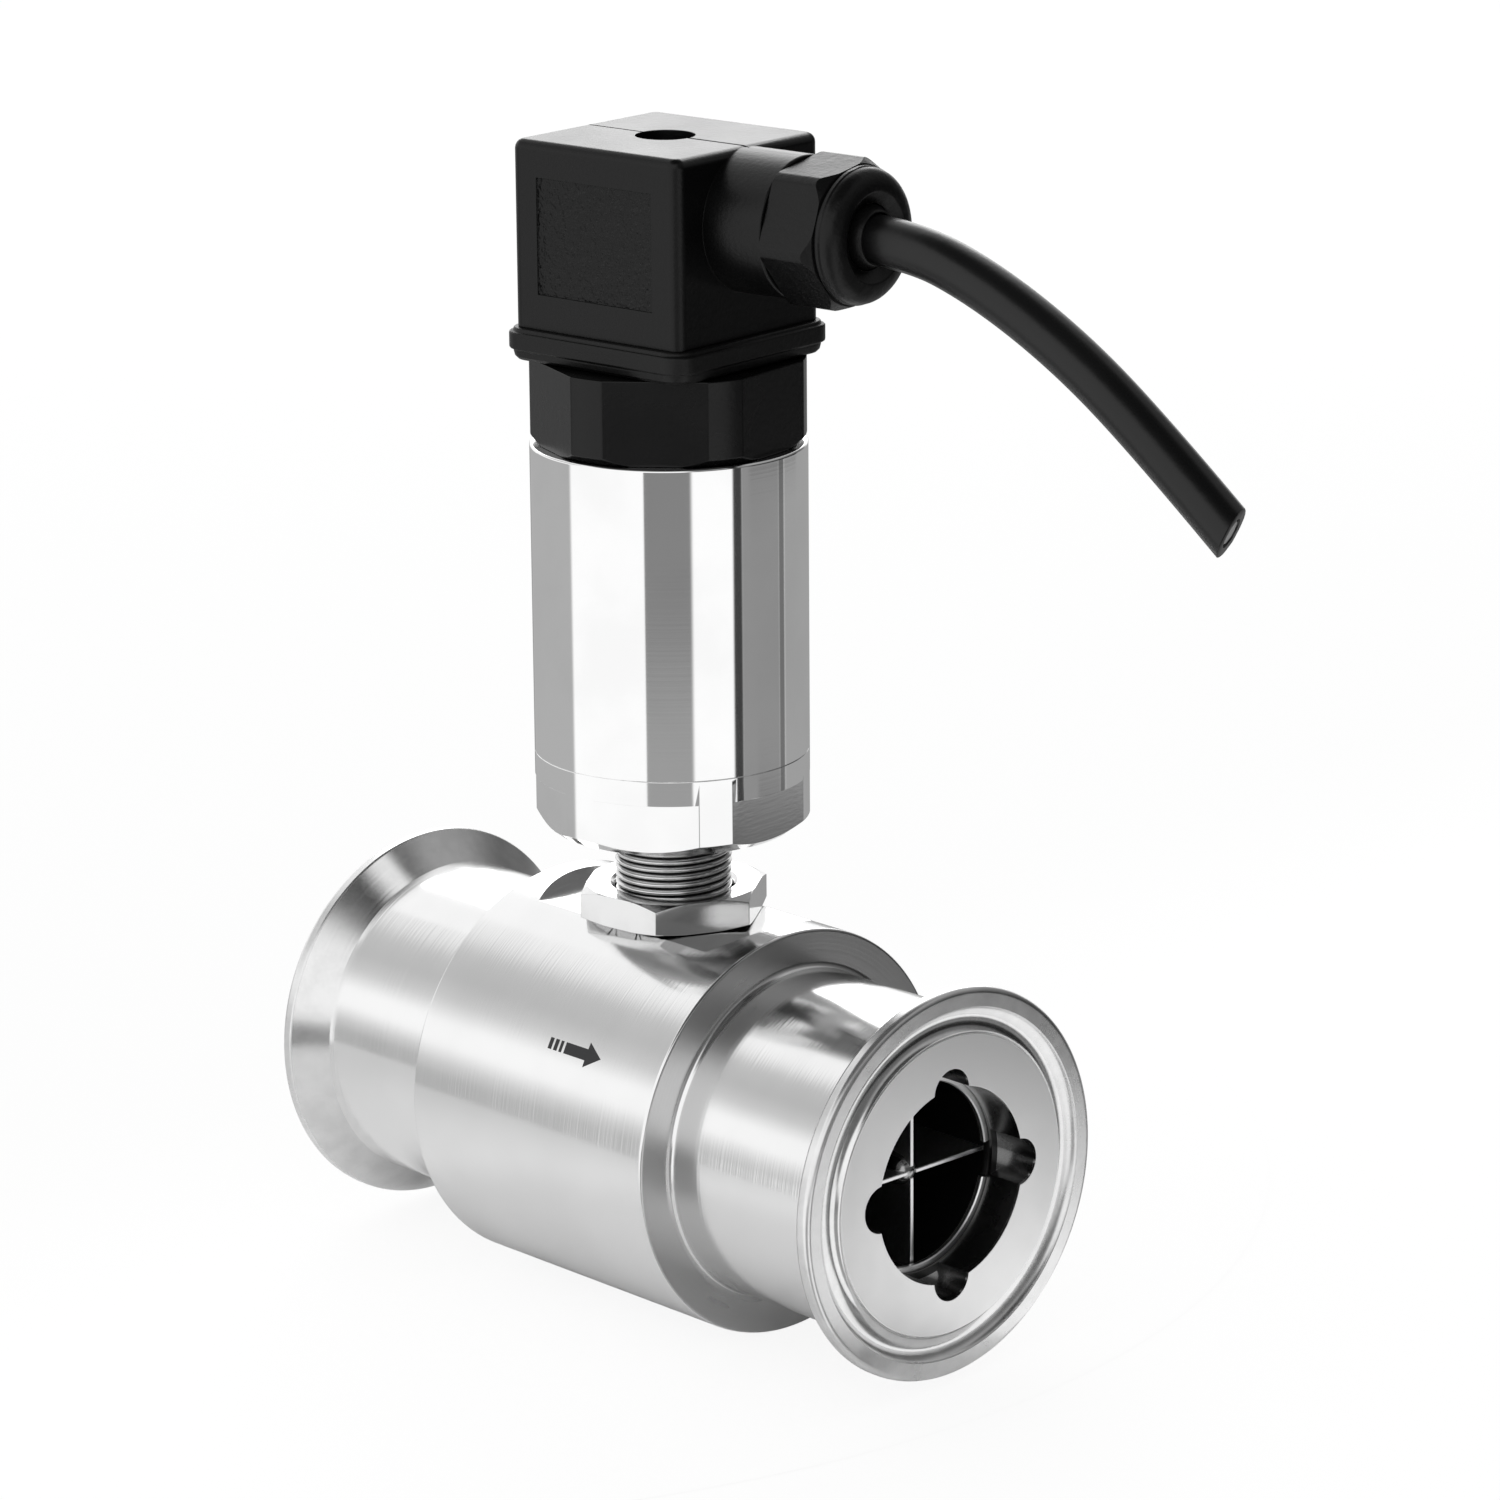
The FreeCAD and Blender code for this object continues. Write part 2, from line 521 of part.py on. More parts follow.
def make_coil_winding():
    bottom = pickup_stack()[0] + BOBBIN_FLANGE
    core_r = POLE_R + SEAT_GAP + BOBBIN_CORE_WALL + SEAT_GAP
    return tube(COIL_R, core_r, BOBBIN_LENGTH - 2 * BOBBIN_FLANGE, V(0, 0, bottom), AXIS_Z)


def make_magnet():
    return Part.makeCylinder(MAGNET_R, MAGNET_LENGTH, V(0, 0, pickup_stack()[1]), AXIS_Z)


def make_magnet_spacer():
    """A tube that keeps the magnet down, under the board's holder."""
    bottom = pickup_stack()[2]
    return tube(MAGNET_R, MAGNET_R - SPACER_WALL, WELL_Z - bottom, V(0, 0, bottom), AXIS_Z)


def make_coil_leads():
    bottom = pickup_stack()[0] + BOBBIN_LENGTH
    length = WELL_Z + HOLDER_THICKNESS - bottom

    def lead():
        return Part.makeCylinder(WIRE_R, length, V(0, LEAD_PITCH_R, bottom), AXIS_Z)
    return Part.makeCompound(around_z(lead, 2))


# Amplifier board

def make_board_holder():
    disc = Part.makeCylinder(BOARD_WELL_R - SEAT_GAP, HOLDER_THICKNESS, V(0, 0, WELL_Z), AXIS_Z)
    slot_z = WELL_Z + HOLDER_THICKNESS - BOARD_SLOT_DEPTH
    slot = centred_box(BOARD_WIDTH + 2 * SEAT_GAP, BOARD_THICKNESS + 2 * SEAT_GAP, HOLDER_THICKNESS, 0, 0, slot_z)
    holes = [Part.makeCylinder(WIRE_R + SEAT_GAP, HOLDER_THICKNESS, V(0, side * LEAD_PITCH_R, WELL_Z), AXIS_Z)
             for side in (-1, 1)]
    return disc.cut([slot] + holes)


def board_heights():
    bottom = WELL_Z + HOLDER_THICKNESS - BOARD_SLOT_DEPTH
    top = LIP_Z - BASE_SPIGOT_LENGTH - BOARD_TOP_GAP
    return bottom, top


def make_circuit_board():
    bottom, top = board_heights()
    return centred_box(BOARD_WIDTH, BOARD_THICKNESS, top - bottom, 0, 0, bottom)


def make_board_components():
    """Chip, trimmer and two capacitors, on both faces of the board."""
    bottom, top = board_heights()
    face = BOARD_THICKNESS / 2
    middle = (bottom + top) / 2
    chip = centred_box(*CHIP_SIZE, 0, face + CHIP_SIZE[1] / 2, middle)
    trimmer = centred_box(*TRIMMER_SIZE, 0, face + TRIMMER_SIZE[1] / 2, top - 2 * TRIMMER_SIZE[2])
    capacitors = [Part.makeCylinder(CAPACITOR_R, CAPACITOR_HEIGHT,
                                    V(side * BOARD_WIDTH / 5, -face, middle), V(0, -1, 0))
                  for side in (-1, 1)]
    return Part.makeCompound([chip, trimmer] + capacitors)


def make_board_leads():
    """Three wires from the board's upper end to the connector's pins."""
    top = board_heights()[1]
    base_floor = LIP_Z - BASE_SPIGOT_LENGTH + BASE_WALL
    y = BOARD_THICKNESS / 2 + WIRE_R
    leads = [Part.makeCylinder(WIRE_R, base_floor - BLADE_PIN_TAIL - top + WIRE_R,
                               V(x, y, top - WIRE_R), AXIS_Z)
             for x in (-BLADE_PIN_PITCH_R, 0, BLADE_PIN_PITCH_R)]
    return Part.makeCompound(leads)


# Connector base

def make_connector_base():
    """Black base: spigot in the sleeve, hexagon with rounded corners, floor for the pins."""
    spigot_r = SLEEVE_BORE_R - SEAT_GAP
    bottom = LIP_Z - BASE_SPIGOT_LENGTH
    turned = revolved([(bottom, 0), (bottom, spigot_r), (LIP_Z, spigot_r), (LIP_Z, BASE_R - BASE_FOOT_CHAMFER),
                       (LIP_Z + BASE_FOOT_CHAMFER, BASE_R), (BASE_TOP_Z, BASE_R), (BASE_TOP_Z, 0)], AXIS_Z)
    flats = prism(6, BASE_FLATS, BASE_TOP_Z, ORIGIN, AXIS_Z, BASE_SPIN)
    base = turned.common(flats)
    hollow_top = BASE_TOP_Z - BASE_WALL - INSERT_NUT_LENGTH
    hollow = Part.makeCylinder(spigot_r - BASE_WALL / 2, hollow_top - bottom, V(0, 0, bottom), AXIS_Z)
    nut_hole = Part.makeCylinder(INSERT_NUT_R + SEAT_GAP, BASE_TOP_Z, V(0, 0, hollow_top), AXIS_Z)
    return base.cut([hollow, nut_hole] + blade_slots())


def blade_box(thickness, width, bottom, top):
    return centred_box(thickness, width, top - bottom, BLADE_PIN_PITCH_R, 0, bottom)


def blade_slots():
    gap = 2 * SEAT_GAP
    return around_z(lambda: blade_box(BLADE_PIN_THICKNESS + gap, BLADE_PIN_WIDTH + gap,
                                      SEAM_Z, PLUG_TOP_Z - PLUG_HEIGHT), 4)


def make_contact_pins():
    """Three pins and the earth pin, with narrowed tips."""
    top = BASE_TOP_Z + BLADE_PIN_OUT
    bottom = BASE_TOP_Z - BASE_WALL - INSERT_NUT_LENGTH - BLADE_PIN_TAIL

    def pin():
        blade = blade_box(BLADE_PIN_THICKNESS, BLADE_PIN_WIDTH, bottom, top)
        tips = [e for e in blade.Edges if e.BoundBox.ZMin > top - 1e-6 and e.Length > 1]
        return blade.makeChamfer(0.3 * BLADE_PIN_THICKNESS, tips)
    return Part.makeCompound(around_z(pin, 4))


def make_insert_nut():
    start = V(0, 0, BASE_TOP_Z - INSERT_NUT_LENGTH)
    return tube(INSERT_NUT_R, SCREW_R + TURNING_GAP, INSERT_NUT_LENGTH, start, AXIS_Z)


# Plug

def make_profile_gasket():
    """Square rubber gasket: a floor under the plug and a lip round the plug's foot."""
    outer = square_block(GASKET_WIDTH, GASKET_HEIGHT, BASE_TOP_Z, GASKET_CORNER_R)
    under = [e for e in outer.Edges if e.BoundBox.ZMax < BASE_TOP_Z + 1e-6]
    outer = outer.makeChamfer(GASKET_EDGE, under)
    seat = square_block(PLUG_FOOT + 2 * END_GAP, GASKET_HEIGHT, FOOT_Z, PLUG_CORNER_R)
    hole = Part.makeCylinder(INSERT_NUT_R, GASKET_HEIGHT, V(0, 0, BASE_TOP_Z), AXIS_Z)
    return outer.cut([seat, hole] + blade_slots())


def make_plug_housing():
    """Moulded plug: square shell, screw well, gland neck with a thread, bare label recesses."""
    shell = square_block(PLUG_WIDTH, PLUG_HEIGHT, GASKET_TOP_Z, PLUG_CORNER_R)
    top = [e for e in shell.Edges if e.BoundBox.ZMin > PLUG_TOP_Z - 1e-6]
    shell = shell.makeFillet(PLUG_TOP_R, top)
    foot = square_block(PLUG_FOOT, GASKET_TOP_Z - FOOT_Z, FOOT_Z, PLUG_CORNER_R)
    cavity = square_block(PLUG_CAVITY, PLUG_TOP_Z - PLUG_WALL - FOOT_Z, FOOT_Z, PLUG_CORNER_R)
    shell = shell.fuse(foot).cut(cavity)

    wall_x = PLUG_WIDTH / 2 - PLUG_WALL / 2
    neck = Part.makeCylinder(GLAND_NECK_R, NECK_END_X - wall_x, V(wall_x, 0, GLAND_Z), AXIS_X)
    neck = neck.makeChamfer(GLAND_NECK_EDGE, [e for e in neck.Edges if e.BoundBox.XMin > NECK_END_X - 1e-6])
    thread = Part.makeCylinder(GLAND_THREAD_R, THREAD_END_X - wall_x, V(wall_x, 0, GLAND_Z), AXIS_X)
    passage = Part.makeCylinder(GLAND_BORE_R, THREAD_END_X, V(PLUG_WIDTH / 4, 0, GLAND_Z), AXIS_X)
    column = Part.makeCylinder(SCREW_COLUMN_R, PLUG_TOP_Z - PLUG_WALL - BLOCK_TOP_Z - END_GAP,
                               V(0, 0, BLOCK_TOP_Z + END_GAP), AXIS_Z)
    housing = shell.fuse([neck, thread]).cut(passage).fuse(column).removeSplitter()

    well = Part.makeCylinder(SCREW_WELL_R, SCREW_WELL_DEPTH, V(0, 0, WELL_FLOOR_Z), AXIS_Z)
    hole = Part.makeCylinder(SCREW_R + TURNING_GAP, PLUG_HEIGHT, V(0, 0, GASKET_TOP_Z), AXIS_Z)
    patch_z = GASKET_TOP_Z + (PLUG_HEIGHT - PATCH_HEIGHT) / 2
    patches = [centred_box(PATCH_WIDTH, 2 * PATCH_DEPTH, PATCH_HEIGHT, 0, side * PLUG_WIDTH / 2, patch_z)
               for side in (-1, 1)]
    seam = centred_box(PLUG_WIDTH / 2, SEAM_WIDTH, SEAM_DEPTH, PLUG_WIDTH / 4, 0, PLUG_TOP_Z - SEAM_DEPTH)
    return housing.cut([well, hole, seam] + patches)


def make_terminal_block():
    block = square_block(BLOCK_WIDTH, TERMINAL_BLOCK_HEIGHT, BLOCK_Z, PLUG_CORNER_R)
    hole = Part.makeCylinder(SCREW_R + 2 * TURNING_GAP, TERMINAL_BLOCK_HEIGHT, V(0, 0, BLOCK_Z), AXIS_Z)
    windows = around_z(lambda: contact_box(SEAT_GAP, TERMINAL_BLOCK_HEIGHT), 4)
    screw_holes = around_z(terminal_screw_hole, 4)
    return block.cut([hole] + windows + screw_holes)


def contact_box(gap, height):
    return centred_box(CONTACT_THICKNESS + 2 * gap, CONTACT_WIDTH + 2 * gap, height,
                       BLADE_PIN_PITCH_R, 0, BLOCK_Z)


def terminal_screw_hole():
    half = TERMINAL_SCREW_PITCH / 2
    return Part.makeCylinder(TERMINAL_SCREW_R + SEAT_GAP, TERMINAL_SCREW_LENGTH,
                             V(half, half, BLOCK_TOP_Z - TERMINAL_SCREW_LENGTH), AXIS_Z)


def make_plug_contacts():
    """Four brass sockets that the base's pins slide into."""
    gap = 2 * SEAT_GAP

    def socket():
        slot = blade_box(BLADE_PIN_THICKNESS + gap, BLADE_PIN_WIDTH + gap, BASE_TOP_Z, PLUG_TOP_Z)
        return contact_box(0, CONTACT_HEIGHT).cut(slot)
    return Part.makeCompound(around_z(socket, 4))


def make_terminal_screws():
    """Four headless screws, flush with the block's top."""
    half = TERMINAL_SCREW_PITCH / 2

    def screw():
        foot = V(half, half, BLOCK_TOP_Z - TERMINAL_SCREW_LENGTH + END_GAP)
        return Part.makeCylinder(TERMINAL_SCREW_R, TERMINAL_SCREW_LENGTH - END_GAP, foot, AXIS_Z)
    return Part.makeCompound(around_z(screw, 4))


def make_fixing_screw():
    """Long screw through the plug into the base, sunk in the plug's well."""
    tip_z = BASE_TOP_Z - SCREW_INTO_NUT
    shank = Part.makeCylinder(SCREW_R, SCREW_HEAD_Z - tip_z, V(0, 0, tip_z), AXIS_Z)
    shank = shank.makeChamfer(SCREW_R / 3, [e for e in shank.Edges if e.BoundBox.ZMax < tip_z + 1e-6])
    head = Part.makeCylinder(SCREW_HEAD_R, SCREW_HEAD, V(0, 0, SCREW_HEAD_Z), AXIS_Z)
    slot = centred_box(2 * SCREW_HEAD_R, SCREW_SLOT_WIDTH, SCREW_SLOT_DEPTH, 0, 0,
                       SCREW_HEAD_Z + SCREW_HEAD - SCREW_SLOT_DEPTH)
    return shank.fuse(head).cut(slot)


def make_screw_seal():
    return tube(SCREW_HEAD_R, SCREW_R + TURNING_GAP, SCREW_SEAL, V(0, 0, WELL_FLOOR_Z), AXIS_Z)


# Cable gland and cable

def gland_axis(x):
    return V(x, 0, GLAND_Z)


def make_gland_nut():
    """Hexagon cap nut with bevelled corners and a domed end, open in the middle."""
    corner_r = GLAND_NUT_FLATS / 2 / math.cos(math.pi / 6)
    length = GLAND_NUT_LENGTH + GLAND_NUT_DOME
    nut = prism(6, GLAND_NUT_FLATS, length, gland_axis(GLAND_NUT_X), AXIS_X, GLAND_NUT_SPIN)
    rise = GLAND_NUT_RIM_R - GLAND_NUT_MOUTH_R
    dome = revolved([(0, 0), (0, corner_r), (GLAND_NUT_LENGTH - GLAND_NUT_BEVEL, corner_r),
                     (GLAND_NUT_LENGTH, GLAND_NUT_RIM_R),
                     (GLAND_NUT_LENGTH + 0.1 * GLAND_NUT_DOME, GLAND_NUT_RIM_R - 0.1 * rise),
                     (GLAND_NUT_LENGTH + 0.5 * GLAND_NUT_DOME, GLAND_NUT_RIM_R - 0.35 * rise),
                     (length, GLAND_NUT_MOUTH_R), (length, 0)], AXIS_X)
    dome.translate(gland_axis(GLAND_NUT_X))
    inside = Part.makeCylinder(GLAND_THREAD_R + TURNING_GAP, GLAND_NUT_LENGTH, gland_axis(GLAND_NUT_X), AXIS_X)
    mouth = Part.makeCylinder(GLAND_NUT_MOUTH_R, length, gland_axis(GLAND_NUT_X), AXIS_X)
    return nut.common(dome).cut([inside, mouth])


def make_gland_washer():
    return tube(GLAND_THREAD_R - SEAT_GAP, SEAL_NOSE_R + SEAT_GAP, WASHER_THICKNESS,
                gland_axis(THREAD_END_X + END_GAP), AXIS_X)


def make_gland_seal():
    """Rubber ring squeezed round the cable. Its nose fills the mouth of the nut."""
    bore_r = CABLE_R + SEAT_GAP
    start, nose_end = THREAD_END_X - SEAL_LENGTH, GLAND_NUT_END_X + SEAL_NOSE_OUT
    seal = revolved([(start, bore_r), (start, GLAND_BORE_R - SEAT_GAP),
                     (THREAD_END_X, GLAND_BORE_R - SEAT_GAP), (THREAD_END_X, SEAL_NOSE_R),
                     (nose_end, SEAL_NOSE_R), (nose_end, bore_r)], AXIS_X)
    seal.translate(gland_axis(0))
    return seal


def make_cable():
    """A round cable: straight runs joined by tangent arcs, in the head's X-Z plane."""
    points = [V(out, 0, GLAND_Z - drop) for out, drop in CABLE_ROUTE]
    edges, last = [], points[0]
    for before, corner, after in zip(points, points[1:], points[2:]):
        to_before, to_after = before - corner, after - corner
        step = CABLE_ARC_SHARE * min(to_before.Length, to_after.Length)
        half_turn = (math.pi - to_before.getAngle(to_after)) / 2
        bend_r = step / math.tan(half_turn)
        print("cable bend radius", round(bend_r, 1))
        to_before.normalize()
        to_after.normalize()
        first, second = corner + to_before * step, corner + to_after * step
        inwards = (to_before + to_after).normalize()
        middle = corner + inwards * (bend_r / math.cos(half_turn) - bend_r)
        edges += [Part.LineSegment(last, first).toShape(), Part.Arc(first, middle, second).toShape()]
        last = second
    edges.append(Part.LineSegment(last, points[-1]).toShape())
    route = Part.Wire(edges)
    section = Part.Wire(Part.makeCircle(CABLE_R, points[0], AXIS_X))
    cable = route.makePipeShell([section], True, False)
    ideal = math.pi * CABLE_R ** 2 * route.Length
    print("cable length", round(route.Length, 1), "volume ratio", round(cable.Volume / ideal, 4))
    return cable


def on_head(shape):
    """Turns a piece with the head and stands it on the sensor's axis."""
    shape.rotate(ORIGIN, AXIS_Z, HEAD_TURN)
    shape.translate(V(SENSOR_X, 0, 0))
    return shape


def make_all():
    inlet = {"ferrule": make_ferrule(), "retaining_ring": make_retaining_ring(),
             "straightener_hub": make_straightener_hub(), "shaft_bush": make_bush(),
             "thrust_pad": make_thrust_pad()}
    inlet["straightener_vanes"] = make_straightener_vanes(inlet["straightener_hub"])
    pieces = {"meter_body": make_meter_body(), "rotor": make_rotor(), "rotor_shaft": make_shaft()}
    for name, shape in inlet.items():
        pieces["inlet_" + name] = shape
        pieces["outlet_" + name] = mirrored_to_outlet(shape)
    head = {"lock_nut": make_lock_nut(), "pickup_stem": make_pickup_stem(),
            "housing_sleeve": make_housing_sleeve(), "pole_piece": make_pole_piece(),
            "coil_bobbin": make_coil_bobbin(), "coil_winding": make_coil_winding(),
            "magnet": make_magnet(), "magnet_spacer": make_magnet_spacer(),
            "coil_leads": make_coil_leads(), "board_holder": make_board_holder(),
            "circuit_board": make_circuit_board(), "board_components": make_board_components(),
            "board_leads": make_board_leads(), "connector_base": make_connector_base(),
            "contact_pins": make_contact_pins(), "insert_nut": make_insert_nut(),
            "profile_gasket": make_profile_gasket(), "plug_housing": make_plug_housing(),
            "terminal_block": make_terminal_block(), "plug_contacts": make_plug_contacts(),
            "terminal_screws": make_terminal_screws(), "fixing_screw": make_fixing_screw(),
            "screw_seal": make_screw_seal(), "gland_nut": make_gland_nut(),
            "gland_washer": make_gland_washer(), "gland_seal": make_gland_seal(),
            "cable": make_cable()}
    for name, shape in head.items():
        pieces[name] = on_head(shape)
    return pieces


os.makedirs("parts", exist_ok=True)
for node, shape in make_all().items():
    shape.exportStep("parts/" + node + ".step")
    print(node, "solids", len(shape.Solids), "volume", round(shape.Volume, 1), "valid", shape.isValid())
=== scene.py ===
import json
import math

import bmesh
import bpy
from mathutils import Matrix, Vector


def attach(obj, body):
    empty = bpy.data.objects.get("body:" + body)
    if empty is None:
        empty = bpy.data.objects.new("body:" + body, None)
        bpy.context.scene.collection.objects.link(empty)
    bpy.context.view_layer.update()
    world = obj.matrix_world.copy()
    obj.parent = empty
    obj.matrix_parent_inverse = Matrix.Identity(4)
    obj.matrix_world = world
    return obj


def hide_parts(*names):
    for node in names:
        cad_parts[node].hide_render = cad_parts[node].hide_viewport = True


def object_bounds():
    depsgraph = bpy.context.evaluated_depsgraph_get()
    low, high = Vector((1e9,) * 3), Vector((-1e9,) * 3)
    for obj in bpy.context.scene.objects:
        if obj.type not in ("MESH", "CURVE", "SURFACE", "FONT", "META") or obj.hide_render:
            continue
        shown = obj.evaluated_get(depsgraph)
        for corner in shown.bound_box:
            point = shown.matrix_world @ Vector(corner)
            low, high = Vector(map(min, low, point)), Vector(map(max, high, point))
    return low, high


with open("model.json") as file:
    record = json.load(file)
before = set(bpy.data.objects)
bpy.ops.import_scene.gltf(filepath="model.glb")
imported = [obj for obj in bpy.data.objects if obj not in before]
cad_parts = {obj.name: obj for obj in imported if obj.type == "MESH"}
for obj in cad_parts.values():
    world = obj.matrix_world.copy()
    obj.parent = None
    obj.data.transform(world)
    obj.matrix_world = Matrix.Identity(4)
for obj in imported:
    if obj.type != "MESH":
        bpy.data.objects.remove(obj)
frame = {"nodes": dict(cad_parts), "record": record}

cad_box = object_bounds()

# Pieces are modelled in millimetres, on the pipe's axis or on the head's own upright axis,
# and are scaled to metres when they are put in place.
MM = 0.001
CENTRE = (0, 0, 0)
PIPE_LENGTH = 100.0
HEAD_X = 50.0
HEAD_TURN = math.radians(6.0)

# Meter body and ferrules
ARROW_X = 56.2
ARROW_UP = 13.3  # along the barrel's skin, up from its widest line
BARREL_R = 26.5
BARREL_START = 28.3
NECK_R = 21.4
BORE_R = 12.7
ROTOR_BORE_R = 12.0
ROTOR_BORE_START = 32.0
RING_GROOVE_R = 13.6
RING_GROOVE = (5.7, 6.8)
FERRULE_LENGTH = 5.3
RIM_R = 25.25
RIM_WIDTH = 1.9
GROOVE_R = 21.1
GROOVE_INSIDE_R = 19.0
SPOT_Z = 24.8
SPOT_R = 18.3
LOBE_COUNT = 4
LOBE_R = 3.05
LOBE_CENTRE_R = 12.15
VANE_COUNT = 4
HUB_R = 4.4
SHAFT_HOLE_R = 2.45

# Head
THREAD_R = 7.5
THREAD_PITCH = 1.0
THREAD_DEPTH = 0.5
STEM_Z = 13.8
NUT_Z = 24.9
NUT_HEIGHT = 4.1
NUT_FLATS = 22.0
HEX_Z = 36.75
HEX_TOP_Z = 43.8
HEX_FLATS = 32.5
HEX_SPIN = -1.0
SEAM_Z = 47.0
SEAM_EDGE = 0.06
SLEEVE_R = 17.6
SLEEVE_BORE_R = 15.7
SPIGOT_R = 15.65
LIP_Z = 87.0
BASE_R = 17.45
BASE_FLATS = 32.3
BASE_SPIN = 5.0
BASE_TOP_Z = 97.8
GASKET_TOP_Z = 102.0
GASKET_WIDTH = 30.0
PLUG_WIDTH = 27.4
PLUG_FOOT = 26.0
PLUG_WALL = 1.7
PLUG_CORNER_R = 1.6
PLUG_TOP_Z = 125.7
RECESS_WIDTH = 18.8
RECESS_HEIGHT = 14.7
WELL_R = 3.75
WELL_FLOOR_Z = 116.6

# Gland and cable, by their distance from the head's axis
GLAND_Z = 116.6
GLAND_NECK_R = 9.0
GLAND_NECK_END = 22.8
GLAND_BORE_R = 5.2
GLAND_FLATS = 17.0
GLAND_SPIN = 10.0
GLAND_RIM = 30.8
GLAND_END = 33.7
GLAND_MOUTH_R = 4.2
SEAL_START = 25.0
SEAL_HOLE_R = 3.15
CABLE_R = 3.1


# Modelling by hand, in edit mode

def deselect():
    for piece in bpy.context.selected_objects:
        piece.select_set(False)


def only(piece):
    deselect()
    piece.select_set(True)
    bpy.context.view_layer.objects.active = piece
    return piece


def edit(piece):
    only(piece)
    bpy.ops.object.mode_set(mode="EDIT")
    bpy.ops.mesh.select_mode(type="VERT")


def leave_edit():
    bpy.ops.object.mode_set(mode="OBJECT")


def settle(piece):
    """Moves an object's place, turn and size into its mesh."""
    only(piece)
    bpy.ops.object.transform_apply(location=True, rotation=True, scale=True)
    return piece


def named(name):
    piece = bpy.context.active_object
    piece.name = piece.data.name = name
    return piece


def pick(piece, rule, part="faces"):
    """Selects the faces or edges that a rule on their middle and normal, or their ends, chooses."""
    bpy.ops.mesh.select_all(action="DESELECT")
    bpy.ops.mesh.select_mode(type="FACE" if part == "faces" else "EDGE")
    mesh = bmesh.from_edit_mesh(piece.data)
    for item in getattr(mesh, part):
        if part == "faces":
            item.select_set(rule(item.calc_center_median(), item.normal))
        else:
            item.select_set(rule(item.verts[0].co, item.verts[1].co))
    bmesh.update_edit_mesh(piece.data)


def bevel_edges(piece, rule, width, segments, clamp=False):
    """Bevels the edges that a rule on their two ends chooses."""
    edit(piece)
    pick(piece, rule, "edges")
    bpy.ops.mesh.bevel(offset=width, segments=segments, affect="EDGES", clamp_overlap=clamp)
    leave_edit()


def drawn(name, outline, axis="X"):
    """A line of edges, drawn by extruding one point along an outline of (along, radius)."""
    def place(along, radius):
        return Vector((along, 0, radius)) if axis == "X" else Vector((radius, 0, along))
    deselect()
    bpy.ops.mesh.primitive_plane_add(size=1, location=place(*outline[0]))
    piece = settle(named(name))
    edit(piece)
    bpy.ops.mesh.select_all(action="SELECT")
    bpy.ops.mesh.merge(type="CENTER")
    for before, after in zip(outline, outline[1:]):
        step = place(*after) - place(*before)
        bpy.ops.mesh.extrude_vertices_move(TRANSFORM_OT_translate={"value": step})
    leave_edit()
    return piece


def clean(piece):
    """Merges doubled points, drops flat slivers and turns all faces outwards."""
    edit(piece)
    bpy.ops.mesh.select_all(action="SELECT")
    bpy.ops.mesh.remove_doubles(threshold=0.002)
    bpy.ops.mesh.dissolve_degenerate(threshold=0.002)
    bpy.ops.mesh.normals_make_consistent(inside=False)
    leave_edit()
    return piece


def turned(name, outline, axis="X", sides=144, sweep=360):
    """A lathe piece: the outline spun about the axis. A closed outline gives a hollow piece."""
    piece = drawn(name, outline, axis)
    edit(piece)
    bpy.ops.mesh.select_all(action="SELECT")
    line = (1, 0, 0) if axis == "X" else (0, 0, 1)
    bpy.ops.mesh.spin(steps=sides, angle=math.radians(sweep), center=CENTRE, axis=line)
    if sweep < 360:
        bpy.ops.mesh.select_all(action="SELECT")
        bpy.ops.mesh.remove_doubles(threshold=0.002)
        bpy.ops.mesh.select_all(action="DESELECT")
        bpy.ops.mesh.select_mode(type="EDGE")
        bpy.ops.mesh.select_non_manifold()
        bpy.ops.mesh.fill_holes(sides=0)
    leave_edit()
    return clean(piece)


def rod(name, radius, length, start, axis="Z", sides=96):
    """A plain cylinder, used to cut with or as a start."""
    deselect()
    middle = Vector(start) + Vector((length / 2, 0, 0) if axis == "X" else (0, 0, length / 2))
    tilt = (0, math.pi / 2, 0) if axis == "X" else (0, 0, 0)
    bpy.ops.mesh.primitive_cylinder_add(vertices=sides, radius=radius, depth=length, location=middle,
                                        rotation=tilt)
    return settle(named(name))


def hexagon(name, flats, length, start, axis="Z", spin=0.0):
    """A hexagon bar with one flat facing the angle spin, in degrees."""
    deselect()
    corner_r = flats / 2 / math.cos(math.pi / 6)
    bpy.ops.mesh.primitive_cylinder_add(vertices=6, radius=corner_r, depth=length, location=CENTRE)
    bar = settle(named(name))
    bar.rotation_euler.z = math.radians(spin)
    settle(bar)
    if axis == "X":
        bar.rotation_euler.y = math.pi / 2
        settle(bar)
    bar.location = Vector(start) + Vector((length / 2, 0, 0) if axis == "X" else (0, 0, length / 2))
    return settle(bar)


def block(name, size, middle):
    deselect()
    bpy.ops.mesh.primitive_cube_add(size=1, location=middle, scale=size)
    return settle(named(name))


def apply_modifier(piece, kind, **settings):
    modifier = piece.modifiers.new(kind.lower(), kind)
    for name, value in settings.items():
        setattr(modifier, name, value)
    only(piece)
    bpy.ops.object.modifier_apply(modifier=modifier.name)
    return piece


def combine(piece, tool, operation):
    apply_modifier(piece, "BOOLEAN", object=tool, operation=operation, solver="EXACT")
    bpy.data.objects.remove(tool, do_unlink=True)
    return piece


def cut(piece, tool):
    return combine(piece, tool, "DIFFERENCE")


def trim(piece, tool):
    """Keeps only what lies inside the tool."""
    return combine(piece, tool, "INTERSECT")


def soften(piece, width, segments=2, angle=28, clamp=True):
    """Breaks the sharp edges."""
    return apply_modifier(piece, "BEVEL", width=width, segments=segments, limit_method="ANGLE",
                          angle_limit=math.radians(angle), use_clamp_overlap=clamp)


